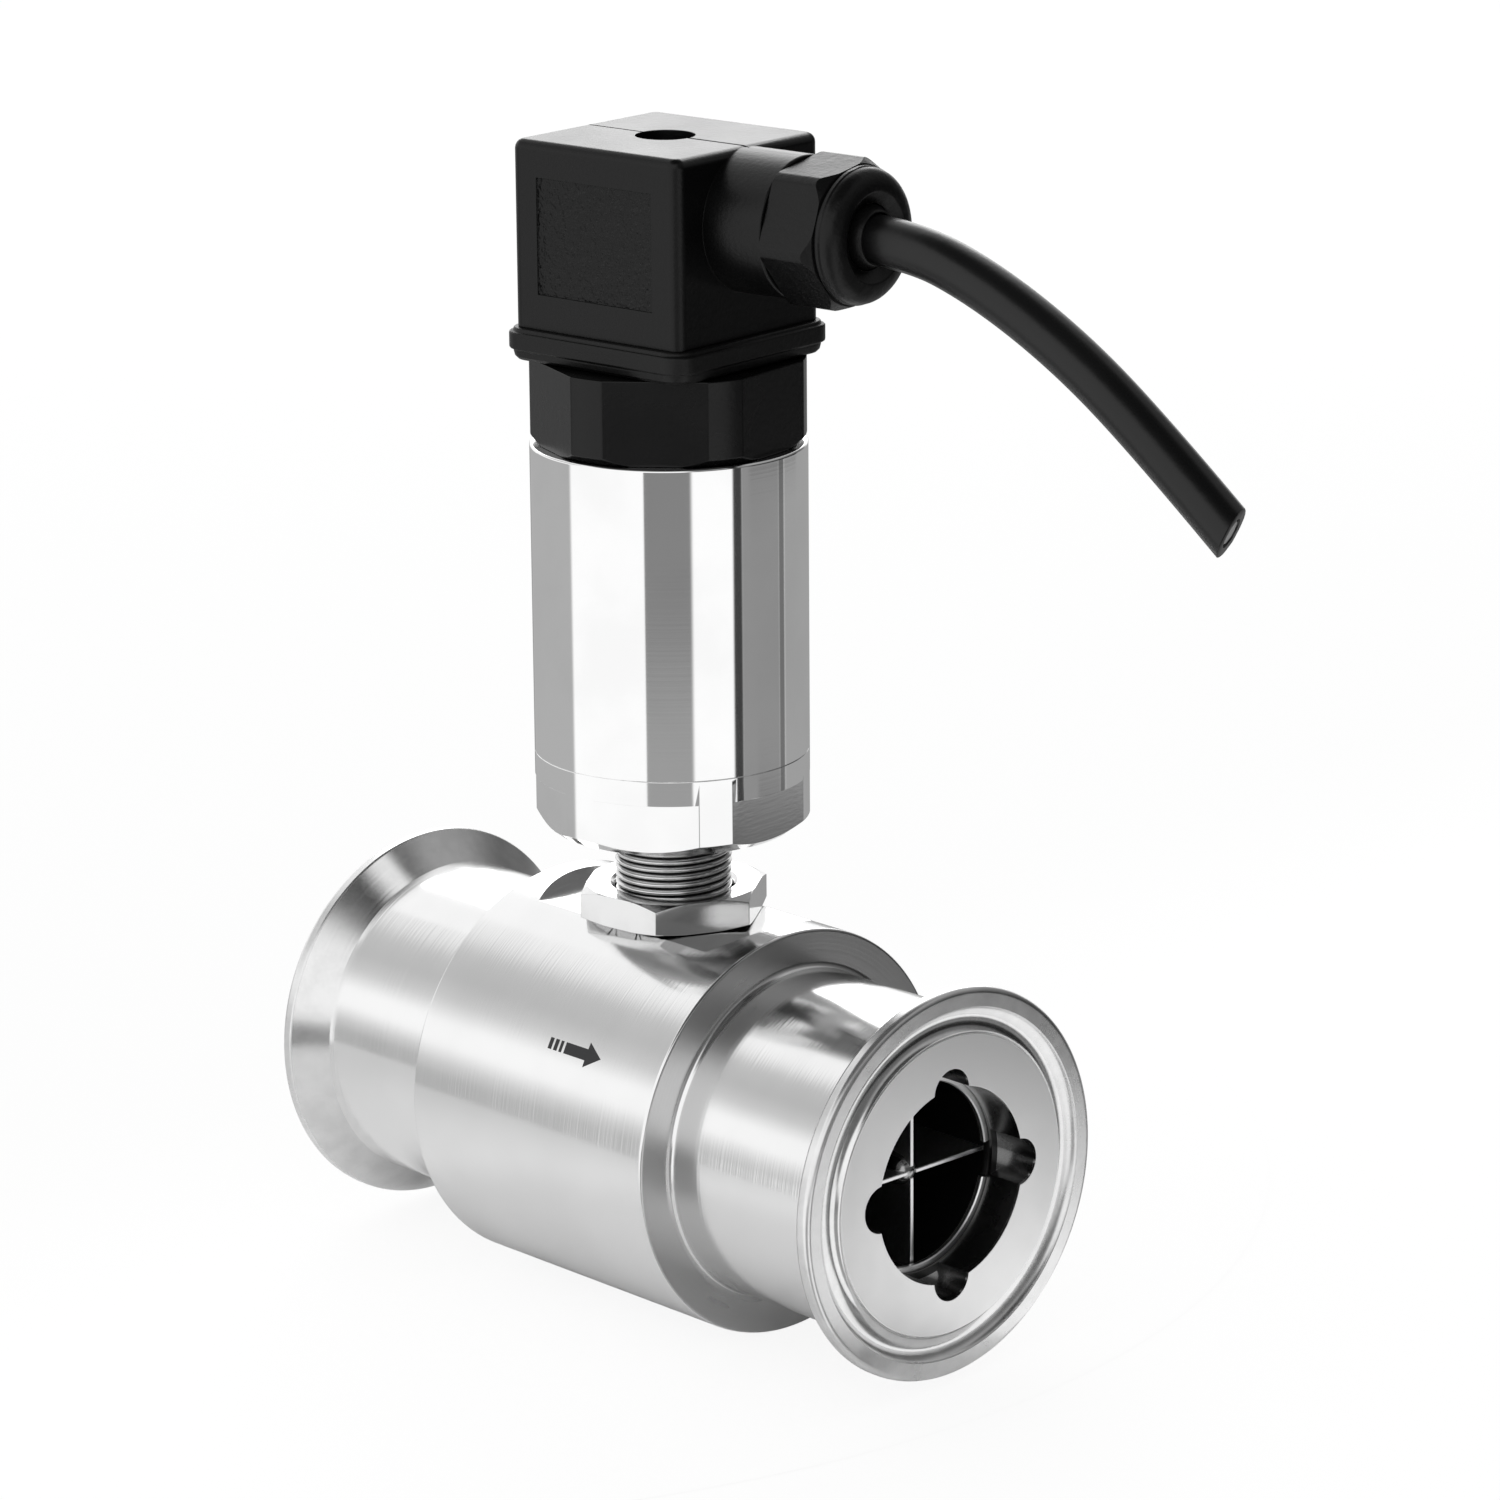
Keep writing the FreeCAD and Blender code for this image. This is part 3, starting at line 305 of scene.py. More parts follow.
def shade(piece, angle=32):
    """Smooth shading, in which wide faces keep their own direction and small bevels turn to them."""
    only(piece)
    bpy.ops.object.shade_smooth_by_angle(angle=math.radians(angle))
    return apply_modifier(piece, "WEIGHTED_NORMAL", mode="FACE_AREA", weight=100, keep_sharp=True)


def copy_of(piece, name):
    twin = piece.copy()
    twin.data = piece.data.copy()
    twin.name = twin.data.name = name
    bpy.context.scene.collection.objects.link(twin)
    return twin


def joined(name, pieces):
    deselect()
    for piece in pieces:
        piece.select_set(True)
    bpy.context.view_layer.objects.active = pieces[0]
    bpy.ops.object.join()
    return named(name)


def mirrored_to_outlet(piece, name):
    twin = copy_of(piece, name)
    twin.scale.x = -1
    twin.location.x = PIPE_LENGTH
    settle(twin)
    edit(twin)
    bpy.ops.mesh.select_all(action="SELECT")
    bpy.ops.mesh.normals_make_consistent(inside=False)
    leave_edit()
    return twin


def arc(along, radius, size_along, size_radius, first, last, steps):
    """Outline points on part of an ellipse, from the first angle to the last, in degrees."""
    points = []
    for step in range(steps + 1):
        turn = math.radians(first + (last - first) * step / steps)
        points.append((along + size_along * math.cos(turn), radius + size_radius * math.sin(turn)))
    return points


def both_ends(outline):
    """An outline from the inlet's side, followed by its mirror image at the outlet's side."""
    return outline + [(PIPE_LENGTH - along, radius) for along, radius in reversed(outline)]


def put(piece, body, material, nodes=(), on_head=False):
    """Scales a piece to metres, puts it on its axis, and lets it ride on its body."""
    if on_head:
        piece.rotation_euler.z = HEAD_TURN
        piece.location.x = HEAD_X
        settle(piece)
    piece.scale = (MM, MM, MM)
    settle(piece)
    piece.data.materials.clear()
    piece.data.materials.append(material)
    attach(piece, body)
    if nodes:
        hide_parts(*nodes)
    return piece


# Shader maths

class Wire:
    """One socket of a node tree. Arithmetic on it adds Math nodes."""

    def __init__(self, tree, socket):
        self.tree, self.socket = tree, socket

    def _math(self, operation, first, second=0.0):
        return self.tree.add("ShaderNodeMath", {"operation": operation}, {0: first, 1: second})

    def __add__(self, other):
        return self._math("ADD", self, other)

    __radd__ = __add__

    def __sub__(self, other):
        return self._math("SUBTRACT", self, other)

    def __rsub__(self, other):
        return self._math("SUBTRACT", other, self)

    def __mul__(self, other):
        return self._math("MULTIPLY", self, other)

    __rmul__ = __mul__

    def __truediv__(self, other):
        return self._math("DIVIDE", self, other)

    def __gt__(self, other):
        return self._math("GREATER_THAN", self, other)

    def __lt__(self, other):
        return self._math("LESS_THAN", self, other)

    def larger(self, other):
        return self._math("MAXIMUM", self, other)

    def ping_pong(self, length):
        return self._math("PINGPONG", self, length)

    def absolute(self):
        return self._math("ABSOLUTE", self)

    def root(self):
        return self._math("SQRT", self)

    def angle_with(self, across):
        return self._math("ARCTAN2", self, across)


class Tree:
    """A node tree that is written as expressions."""

    def __init__(self, data):
        data.use_nodes = True
        self.nodes, self.links = data.node_tree.nodes, data.node_tree.links
        self.nodes.clear()

    def add(self, kind, settings=None, inputs=None, out=0):
        node = self.nodes.new(kind)
        for name, value in (settings or {}).items():
            if name == "stops":
                self._stops(node.color_ramp, value)
            else:
                setattr(node, name, value)
        for name, value in (inputs or {}).items():
            if isinstance(value, Wire):
                self.links.new(value.socket, node.inputs[name])
            else:
                node.inputs[name].default_value = value
        return Wire(self, node.outputs[out]) if len(node.outputs) else None

    def _stops(self, ramp, stops):
        while len(ramp.elements) < len(stops):
            ramp.elements.new(1.0)
        for element, (place, level) in zip(ramp.elements, stops):
            element.position = place
            element.color = (*colour(level), 1)

    def ramp(self, factor, *stops):
        return self.add("ShaderNodeValToRGB", {"stops": stops}, {"Fac": factor})

    def between(self, value, low, high, start=0.0, end=1.0):
        """Goes smoothly from start to end while the value goes from low to high."""
        return self.add("ShaderNodeMapRange", {"interpolation_type": "SMOOTHSTEP"},
                        {"Value": value, "From Min": low, "From Max": high, "To Min": start, "To Max": end})

    def place(self):
        return self.add("ShaderNodeTexCoord", out=3)

    def parts(self, vector):
        split = self.add("ShaderNodeSeparateXYZ", inputs={0: vector})
        outputs = split.socket.node.outputs
        return [Wire(self, outputs[index]) for index in range(3)]

    def vector(self, x=0.0, y=0.0, z=0.0):
        return self.add("ShaderNodeCombineXYZ", inputs={0: x, 1: y, 2: z})

    def noise(self, vector, scale, detail=3.0, roughness=0.5):
        return self.add("ShaderNodeTexNoise", {"normalize": True},
                        {"Vector": vector, "Scale": scale, "Detail": detail, "Roughness": roughness})

    def blend(self, factor, first, second):
        """Mixes two colours, each a wire or three numbers."""
        node = self.nodes.new("ShaderNodeMix")
        node.data_type = "RGBA"
        for index, value in ((0, factor), (6, first), (7, second)):
            if isinstance(value, Wire):
                self.links.new(value.socket, node.inputs[index])
            elif index == 0:
                node.inputs[index].default_value = value
            else:
                node.inputs[index].default_value = (*value, 1)
        return Wire(self, node.outputs[2])

    def bump(self, height, distance):
        return self.add("ShaderNodeBump", inputs={"Height": height, "Distance": distance, "Strength": 1.0})


def finish_of(name, build):
    """A material whose tree is built by one function that returns the shader's inputs."""
    material = bpy.data.materials.new(name)
    tree = Tree(material)
    inputs = build(tree)
    shader = tree.add("ShaderNodeBsdfPrincipled", inputs=inputs)
    tree.add("ShaderNodeOutputMaterial", inputs={"Surface": shader})
    return material


def colour(level):
    return (level, level, level)


def turned_steel(name, axis, level, roughness, marks, haze=0.1, foot=0.0):
    """Steel with lathe marks round the pipe's or the head's axis, with painted shade below the height foot."""
    def build(tree):
        x, y, z = tree.parts(tree.place())
        if axis == "X":
            along, radius = x, (y * y + z * z).root()
        else:
            across = x - HEAD_X * MM
            along, radius = z, (across * across + y * y).root()
        lathe = tree.noise(tree.vector(along, radius), 2600.0, 2.0)
        wide = tree.noise(tree.vector(along, radius), 420.0, 2.0)
        smear = tree.noise(tree.place(), 70.0, 4.0)
        tone = tree.between(smear, 0.35, 0.65)
        steel = tree.blend(tone, colour(level * 0.95), colour(level))
        # Painted shade: below the height foot the steel is painted darker (0.4), for the shade under the
        # stem's hexagon.
        if foot:
            steel = tree.blend(z < foot * MM, steel, colour(0.4))
        return {"Base Color": steel,
                "Metallic": 1.0,
                "Roughness": roughness + (wide - 0.5) * haze * 0.6 + (smear - 0.5) * haze,
                "Normal": tree.bump(lathe * 0.6 + wide * 0.4, marks)}
    return finish_of(name, build)


def ground_steel(name, level, roughness, mottle):
    """Steel ground or polished by hand, with a fine cloudy grain."""
    def build(tree):
        grain = tree.noise(tree.place(), 900.0, 5.0, 0.6)
        cloud = tree.noise(tree.place(), 160.0, 3.0)
        tone = tree.between(cloud, 0.3, 0.7)
        return {"Base Color": tree.blend(tone, colour(level * 0.9), colour(level)),
                "Metallic": 1.0,
                "Roughness": roughness + (cloud - 0.5) * 0.12,
                "Normal": tree.bump(grain, mottle)}
    return finish_of(name, build)


def metal(name, tint, roughness):
    """Plain machined metal of one colour, for the pieces inside."""
    def build(tree):
        grain = tree.noise(tree.place(), 1200.0, 3.0)
        worn = tree.noise(tree.place(), 220.0, 3.0)
        dark = tuple(part * 0.82 for part in tint)
        return {"Base Color": tree.blend(tree.between(worn, 0.3, 0.7), dark, tint),
                "Metallic": 1.0,
                "Roughness": roughness + (worn - 0.5) * 0.15,
                "Normal": tree.bump(grain, 0.00001)}
    return finish_of(name, build)


def moulded(name, tint, roughness, grain_depth, grain_scale=1500.0):
    """Moulded plastic or rubber with a fine even grain and a few paler scuffs."""
    def build(tree):
        grain = tree.noise(tree.place(), grain_scale, 4.0, 0.6)
        patch = tree.noise(tree.place(), 90.0, 3.0)
        pale = tuple(part * 1.35 for part in tint)
        return {"Base Color": tree.blend(tree.between(patch, 0.35, 0.75), tint, pale),
                "Roughness": roughness + (patch - 0.5) * 0.12,
                "Specular IOR Level": 0.3,
                "Normal": tree.bump(grain, grain_depth)}
    return finish_of(name, build)


def plug_plastic():
    """Black moulded plastic, rougher in the bare recess on the sides."""
    def build(tree):
        x, y, z = tree.parts(tree.place())
        turn_cos, turn_sin = math.cos(HEAD_TURN), math.sin(HEAD_TURN)
        along = (x - HEAD_X * MM) * turn_cos + y * turn_sin
        across = y * turn_cos - (x - HEAD_X * MM) * turn_sin
        up = z - 0.5 * (GASKET_TOP_Z + PLUG_TOP_Z) * MM
        inside = ((along.absolute() < RECESS_WIDTH / 2 * MM) * (up.absolute() < RECESS_HEIGHT / 2 * MM)
                  * (across.absolute() > (PLUG_WIDTH / 2 - 0.4) * MM))
        fine = tree.noise(tree.place(), 1700.0, 4.0, 0.6)
        spark = tree.noise(tree.place(), 950.0, 2.0, 0.7)
        patch = tree.noise(tree.place(), 80.0, 3.0)
        height = fine * 0.15 * (1 - inside) + spark * inside * 2.5
        return {"Base Color": tree.blend(tree.between(patch, 0.35, 0.75), (0.0014, 0.0014, 0.0015),
                                         (0.0024, 0.0024, 0.0025)),
                "Roughness": 0.32 + (patch - 0.5) * 0.1 + inside * 0.1,
                "Specular IOR Level": 0.3,
                "Normal": tree.bump(height, 0.00022)}
    return finish_of("plug_black", build)


def barrel_steel():
    """Polished lathe-turned steel with a plain etched flow arrow on the near side, and painted shade on the
    shoulders and in the bore.
    """
    def build(tree):
        x, y, z = tree.parts(tree.place())
        radius = (y * y + z * z).root()
        lathe = tree.noise(tree.vector(x, radius), 2600.0, 2.0)
        wide = tree.noise(tree.vector(x, radius), 300.0, 2.0)
        smear = tree.noise(tree.place(), 60.0, 4.0)
        along = x / MM - ARROW_X
        up = z.angle_with(y * -1.0) * BARREL_R - ARROW_UP
        shaft = (along > -1.8) * (along < 2.4) * (up.absolute() < 0.75)
        head = (along > 2.2) * (up.absolute() < (4.9 - along) * 0.62)
        bars = (along > -4.9) * (along < -2.2) * (up.absolute() < 0.75)
        gaps = tree.between((along + 4.9).ping_pong(0.5), 0.12, 0.2)
        outside = radius > (BARREL_R - 0.1) * MM
        near = y < 0.0
        mark = shaft.larger(head).larger(bars * gaps) * outside * near
        tone = tree.between(smear, 0.35, 0.65)
        steel = tree.blend(tone, colour(0.9), colour(0.94))
        bore = radius < (RING_GROOVE_R + 0.1) * MM
        end = (x - HEAD_X * MM).absolute() > (HEAD_X - BARREL_START - 0.1) * MM
        shoulder = end * (radius > (NECK_R + 0.3) * MM)
        # The shoulders' faces are rougher, a real finish, and painted darker (0.62), a painted shade.
        steel = tree.blend(shoulder, steel, colour(0.62))
        # Painted shade: the bore is painted dark (0.12) for the shade inside it.
        steel = tree.blend(bore, steel, colour(0.12))
        return {"Base Color": tree.blend(mark, steel, (0.03, 0.03, 0.032)),
                "Metallic": 1 - mark * 0.8,
                "Roughness": (0.14 + bore * 0.15 + shoulder * 0.14 + (wide - 0.5) * 0.05 + (smear - 0.5) * 0.05
                              + mark * 0.4),
                "Normal": tree.bump(lathe * 0.85 + wide * 0.15, 0.000012)}
    return finish_of("barrel_polished", build)


def ferrule_steel():
    """Steel with a satin face round the mouth, a cloudy hand-polished rim and a bright back, and with painted
    shade in the bore and lobes behind the mouth.
    """
    def build(tree):
        x, y, z = tree.parts(tree.place())
        radius = (y * y + z * z).root()
        end = (x - 0.5 * PIPE_LENGTH * MM).absolute()
        face = (radius < (GROOVE_INSIDE_R + 0.3) * MM) * (end > (0.5 * PIPE_LENGTH - 0.05) * MM)
        lathe = tree.noise(tree.vector(x, radius), 2400.0, 2.0)
        cloud = tree.noise(tree.place(), 260.0, 4.0, 0.6)
        patch = tree.noise(tree.place(), 45.0, 3.0)
        tone = tree.blend(tree.between(cloud, 0.3, 0.7), colour(0.8), colour(0.9))
        # Painted shade: the bore and the lobes behind the mouth are painted dark (0.2) below.
        mouth = (radius < (LOBE_CENTRE_R + LOBE_R + 0.1) * MM) * (end < (0.5 * PIPE_LENGTH - 0.4) * MM)
        rim = (radius > (GROOVE_R + 0.5) * MM) * (end > (0.5 * PIPE_LENGTH - RIM_WIDTH) * MM)
        steel = tree.blend(mouth, tree.blend(face, tone, colour(0.9)), colour(0.2))
        return {"Base Color": steel,
                "Metallic": 1.0,
                "Roughness": (0.17 + (cloud - 0.5) * 0.12 + (patch - 0.5) * 0.1 + face * 0.24 + rim * 0.12
                              + mouth * 0.1),
                "Normal": tree.bump(lathe * 0.4 + cloud * (0.5 + rim * 1.5), 0.00001)}
    return finish_of("ferrule_steel", build)


def thread_steel():
    """Cut thread: bright crests over roots painted darker, a painted shade in the thread's grooves."""
    def build(tree):
        x, y = tree.parts(tree.place())[:2]
        across = x - HEAD_X * MM
        radius = (across * across + y * y).root()
        # Painted shade: the roots of the thread are painted dark (0.1).
        root = tree.between(radius, (THREAD_R - 0.45) * MM, (THREAD_R - 0.08) * MM, 1.0, 0.0)
        grain = tree.noise(tree.place(), 1400.0, 3.0)
        return {"Base Color": tree.blend(root, colour(0.8), colour(0.1)),
                "Metallic": 1.0,
                "Roughness": 0.16 + root * 0.2,
                "Normal": tree.bump(grain, 0.000006)}
    return finish_of("thread_steel", build)


def cable_sheath():
    """Black sheath with a soft sheen and faint rings from the extruder."""
    def build(tree):
        rings = tree.noise(tree.place(), 600.0, 3.0)
        patch = tree.noise(tree.place(), 50.0, 3.0)
        return {"Base Color": tree.blend(tree.between(patch, 0.35, 0.7), (0.0015, 0.0015, 0.0016),
                                         (0.003, 0.003, 0.0032)),
                "Roughness": 0.3 + (patch - 0.5) * 0.1,
                "Specular IOR Level": 0.45,
                "Normal": tree.bump(rings, 0.00003)}
    return finish_of("cable_sheath", build)


POLISHED = turned_steel("polished_steel", "Z", 0.99, 0.06, 0.0000015, 0.03)
BARREL = barrel_steel()
FERRULE = ferrule_steel()
VANE_STEEL = ground_steel("vane_steel", 0.95, 0.3, 0.00001)
# Painted shade: a darker copy (0.4) of the vanes' steel for the hub, which sits in the bore's shade.
HUB_SHADED_STEEL = ground_steel("hub_shaded_steel", 0.4, 0.15, 0.00001)
STEM_STEEL = turned_steel("stem_steel", "Z", 0.99, 0.07, 0.000002, 0.03, HEX_Z + 0.1)
THREAD_STEEL = thread_steel()
NUT_STEEL = ground_steel("nut_steel", 0.85, 0.1, 0.000005)
PLUG_BLACK = plug_plastic()
BASE_BLACK = moulded("base_black", (0.0018, 0.0018, 0.0019), 0.26, 0.00002)
RUBBER = moulded("gasket_rubber", (0.004, 0.004, 0.004), 0.42, 0.00005)
GLAND_BLACK = moulded("gland_black", (0.002, 0.002, 0.0021), 0.34, 0.00008, 900.0)
SHEATH = cable_sheath()
SCREW_ZINC = ground_steel("screw_zinc", 0.62, 0.3, 0.00001)

INSIDE = {
    "polished_steel": POLISHED,
    "satin_steel": metal("satin_steel", (0.62, 0.62, 0.63), 0.3),
    "rotor_steel": metal("rotor_steel", (0.55, 0.55, 0.56), 0.28),
    "spring_steel": metal("spring_steel", (0.6, 0.6, 0.6), 0.2),
    "hard_metal": metal("hard_metal", (0.42, 0.42, 0.44), 0.35),
    "soft_iron": metal("soft_iron", (0.4, 0.4, 0.4), 0.45),
    "zinc_steel": metal("zinc_steel", (0.7, 0.7, 0.68), 0.35),
    "brass": metal("brass", (0.78, 0.62, 0.32), 0.3),
    "tinned_brass": metal("tinned_brass", (0.74, 0.72, 0.66), 0.35),
    "copper_wire": metal("copper_wire", (0.72, 0.36, 0.2), 0.35),
    "magnet": metal("magnet", (0.25, 0.25, 0.26), 0.5),
    "black_plastic": BASE_BLACK,
    "grey_plastic": moulded("grey_plastic", (0.28, 0.28, 0.28), 0.45, 0.00003),
    "ivory_plastic": moulded("ivory_plastic", (0.75, 0.72, 0.62), 0.45, 0.00003),
    "component_plastic": moulded("component_plastic", (0.03, 0.03, 0.03), 0.4, 0.00003),
    "circuit_board": moulded("circuit_board", (0.03, 0.22, 0.09), 0.35, 0.00002),
    "wire_insulation": moulded("wire_insulation", (0.5, 0.05, 0.04), 0.35, 0.00002),
    "cable_sheath": SHEATH,
    "black_rubber": RUBBER,
}


# Meter body and ferrules

def make_barrel():
    """The turned bar, drilled through, with the spot face and the pickup's pocket."""
    outer = [(FERRULE_LENGTH, NECK_R)]
    outer += arc(27.4, 22.3, 0.9, 0.9, -90, 0, 5)
    outer += [(BARREL_START, 26.1)] + arc(BARREL_START + 0.4, 26.1, 0.4, 0.4, 180, 90, 4)[1:]
    groove_start, groove_end = RING_GROOVE
    bore = [(FERRULE_LENGTH, BORE_R), (groove_start, BORE_R), (groove_start, RING_GROOVE_R),
            (groove_end, RING_GROOVE_R), (groove_end, BORE_R), (ROTOR_BORE_START, BORE_R),
            (ROTOR_BORE_START, ROTOR_BORE_R)]
    barrel = turned("barrel", both_ends(outer) + both_ends(bore)[::-1] + [outer[0]], sides=216)
    cut(barrel, rod("spot_cutter", SPOT_R, 10, (HEAD_X, 0, SPOT_Z), sides=160))
    cut(barrel, rod("pocket_cutter", THREAD_R + 0.05, 20, (HEAD_X, 0, 13.5), sides=72))
    clean(barrel)

    def on_spot_rim(end):
        return abs(end.z - SPOT_Z) < 0.02 and math.hypot(end.x - HEAD_X, end.y) > SPOT_R - 1.3

    bevel_edges(barrel, lambda a, b: on_spot_rim(a) and on_spot_rim(b) and a.y * b.y > 0, 0.12, 2, clamp=True)
    shade(barrel, 25)
    return put(barrel, "meter", BARREL, ["meter_body"])


def make_ferrules():
    """The inlet's ferrule and its mirror image at the outlet."""
    groove = arc(0.0, GROOVE_R, 1.3, 1.75, -90, 90, 12)
    outline = [(0.0, BORE_R), (0.0, GROOVE_INSIDE_R)] + [(max(along, 0.0), radius) for along, radius in groove]
    rim_edge = 0.8
    outline += [(0.0, RIM_R - rim_edge)] + arc(rim_edge, RIM_R - rim_edge, rim_edge, rim_edge, 180, 90, 6)[1:]
    outline += [(RIM_WIDTH - 0.3, RIM_R), (RIM_WIDTH, RIM_R - 0.15), (FERRULE_LENGTH - 0.15, NECK_R + 0.1),
                (FERRULE_LENGTH, NECK_R - 0.05), (FERRULE_LENGTH, BORE_R), (0.0, BORE_R)]
    ferrule = turned("inlet_clamp_ferrule", outline, sides=216)
    for step in range(LOBE_COUNT):
        angle = math.tau * step / LOBE_COUNT
        spot = (-1, LOBE_CENTRE_R * math.cos(angle), LOBE_CENTRE_R * math.sin(angle))
        cut(ferrule, rod("lobe_cutter", LOBE_R, 8, spot, "X", 48))
    clean(ferrule)

    def on_mouth(end):
        return abs(end.x) < 0.01 and math.hypot(end.y, end.z) < LOBE_CENTRE_R + LOBE_R + 0.2

    bevel_edges(ferrule, lambda a, b: on_mouth(a) and on_mouth(b), 0.32, 2, clamp=True)
    twin = mirrored_to_outlet(ferrule, "outlet_clamp_ferrule")
    shade(ferrule, 25)
    shade(twin, 25)
    put(ferrule, "meter", FERRULE, ["inlet_ferrule"])
    put(twin, "meter", FERRULE, ["outlet_ferrule"])


def make_straighteners():
    """Hub, vanes and retaining ring at each end of the bore."""
    nose, full, end, nose_r = 6.9, 23.9, 43.0, 2.0
    outline = [(nose, 0.0)] + arc(nose + nose_r, 0.0, nose_r, nose_r, 180, 90, 8)[1:]
    outline += [(full, HUB_R), (end - 0.2, HUB_R), (end, HUB_R - 0.2), (end, SHAFT_HOLE_R),
                (end - 6.2, SHAFT_HOLE_R), (end - 6.2, 0.0)]
    hub = turned("inlet_hub", outline, sides=64)
    length, thickness = 25.1, 0.6
    vanes = []
    for step in range(VANE_COUNT):
        vane = soften(block("vane", (length, thickness, 12.5), (nose + length / 2, 0, 6.95)), 0.15, 3)
        vane.rotation_euler.x = math.tau * step / VANE_COUNT
        settle(vane)
        trim(vane, rod("bore_gauge", BORE_R - 0.05, 30, (nose - 1, 0, 0), "X", 96))
        cut(vane, copy_of(hub, "hub_gauge"))
        vanes.append(clean(vane))
    vanes = joined("inlet_vanes", vanes)
    start, finish, inner, outer, edge = 5.8, 6.7, 11.95, 13.55, 0.15
    outline = [(start, inner + edge), (start + edge, inner), (finish - edge, inner), (finish, inner + edge),
               (finish, outer - edge), (finish - edge, outer), (start + edge, outer), (start, outer - edge),
               (start, inner + edge)]
    ring = turned("inlet_spring_ring", outline, sides=96, sweep=338)
    ring.rotation_euler.x = math.radians(-106.0)
    settle(ring)
    for piece, kind, node, material, slot in (
            (hub, "hub", "straightener_hub", HUB_SHADED_STEEL, "satin_steel"),
            (vanes, "vanes", "straightener_vanes", VANE_STEEL, "satin_steel"),
            (ring, "spring_ring", "retaining_ring", VANE_STEEL, "spring_steel")):
        twin = mirrored_to_outlet(piece, "outlet_" + kind)
        shade(piece, 30)
        shade(twin, 30)
        put(piece, "meter", material, ["inlet_" + node])
        put(twin, "meter", material, ["outlet_" + node])


# Pickup stem, nut and housing

def make_thread(start, end, crest_r, depth, bore_r):
    """A real helix: one tooth, turned and lifted by its pitch again and again."""
    steps = 8
    tooth = []
    for step in range(steps + 1):
        rise = math.sin(math.pi * step / steps) ** 0.8
        tooth.append((start - 1 + THREAD_PITCH * step / steps, crest_r - depth * (1 - rise)))
    turns = int((end - start) / THREAD_PITCH) + 3
    thread = drawn("stem_thread", tooth, "Z")
    apply_modifier(thread, "SCREW", axis="Z", angle=math.tau, screw_offset=THREAD_PITCH, iterations=turns,
                   steps=64, render_steps=64, use_merge_vertices=True, merge_threshold=0.001)
    edit(thread)
    bpy.ops.mesh.select_all(action="SELECT")
    bpy.ops.mesh.remove_doubles(threshold=0.002)
    for height, below in ((start, True), (end, False)):
        bpy.ops.mesh.select_all(action="SELECT")
        bpy.ops.mesh.bisect(plane_co=(0, 0, height), plane_no=(0, 0, 1), use_fill=True, clear_inner=below,
                            clear_outer=not below)
    bpy.ops.mesh.select_all(action="SELECT")
    bpy.ops.mesh.normals_make_consistent(inside=False)
    leave_edit()
    cut(thread, rod("stem_bore", bore_r, 60, (0, 0, start - 5)))
    return thread


def make_stem():
    """Stem, hexagon and collar in one piece, with the cut thread as a second."""
    root_r = THREAD_R - 0.6
    foot_r = SLEEVE_R - 2.3
    tip, tip_floor, spigot_top, well_r, well_floor, bore_r = STEM_Z, 14.8, 53.0, 12.0, 42.0, 5.9
    outline = [(tip_floor, 0.0), (tip, 0.0), (tip, root_r - 0.4), (tip + 0.4, root_r), (HEX_Z, root_r),
               (HEX_Z, foot_r), (HEX_Z + 0.12, foot_r + 0.25), (HEX_Z + 1.6, SLEEVE_R),
               (SEAM_Z - SEAM_EDGE, SLEEVE_R), (SEAM_Z, SLEEVE_R - SEAM_EDGE), (SEAM_Z, SPIGOT_R),
               (spigot_top, SPIGOT_R), (spigot_top, well_r), (well_floor, well_r), (well_floor, bore_r),
               (tip_floor, bore_r), (tip_floor, 0.0)]
    stem = turned("stem", outline, "Z", 180)
    inside_r, outside_r = 13.0, 30.0
    flats = turned("flat_ring", [(HEX_Z - 1, inside_r), (HEX_Z - 1, outside_r), (HEX_TOP_Z, outside_r),
                                 (HEX_TOP_Z, inside_r), (HEX_Z - 1, inside_r)], "Z", 96)
    cut(flats, hexagon("flat_gauge", HEX_FLATS, 30, (0, 0, HEX_Z - 10), "Z", HEX_SPIN))
    cut(stem, flats)
    clean(stem)
    soften(stem, 0.1, 2, 25)
    thread = make_thread(15.0, HEX_Z - 1.3, THREAD_R, THREAD_DEPTH, 6.5)
    stem.name = stem.data.name = "pickup_stem_steel"
    for piece, material in ((stem, STEM_STEEL), (thread, THREAD_STEEL)):
        shade(piece, 28)
        put(piece, "pickup", material, ["pickup_stem"], on_head=True)


def make_lock_nut():
    """A hexagon with turned bevels at both faces and a countersunk hole."""
    corner_r = NUT_FLATS / 2 / math.cos(math.pi / 6)
    face_r, edge_r = corner_r - 1.5, corner_r + 0.01
    top = NUT_Z + NUT_HEIGHT
    nut = hexagon("lock_nut_steel", NUT_FLATS, NUT_HEIGHT, (0, 0, NUT_Z), "Z", 30.0)
    dome = turned("nut_dome", [(NUT_Z, 0.0), (NUT_Z, face_r), (NUT_Z + 0.4, edge_r), (top - 0.65, edge_r),
                               (top, face_r), (top, 0.0), (NUT_Z, 0.0)], "Z", 180)
    trim(nut, dome)
    hole_r = THREAD_R + 0.15
    sink_r = hole_r + 0.8
    hole = turned("nut_hole", [(NUT_Z - 1, 0.0), (NUT_Z - 1, hole_r), (top - 0.6, hole_r), (top + 0.2, sink_r),
                               (top + 1, sink_r), (top + 1, 0.0), (NUT_Z - 1, 0.0)], "Z", 96)
    cut(nut, hole)
    clean(nut)
    soften(nut, 0.1, 2, 20, clamp=False)
    shade(nut, 25)
    put(nut, "lock_nut", NUT_STEEL, ["lock_nut"], on_head=True)


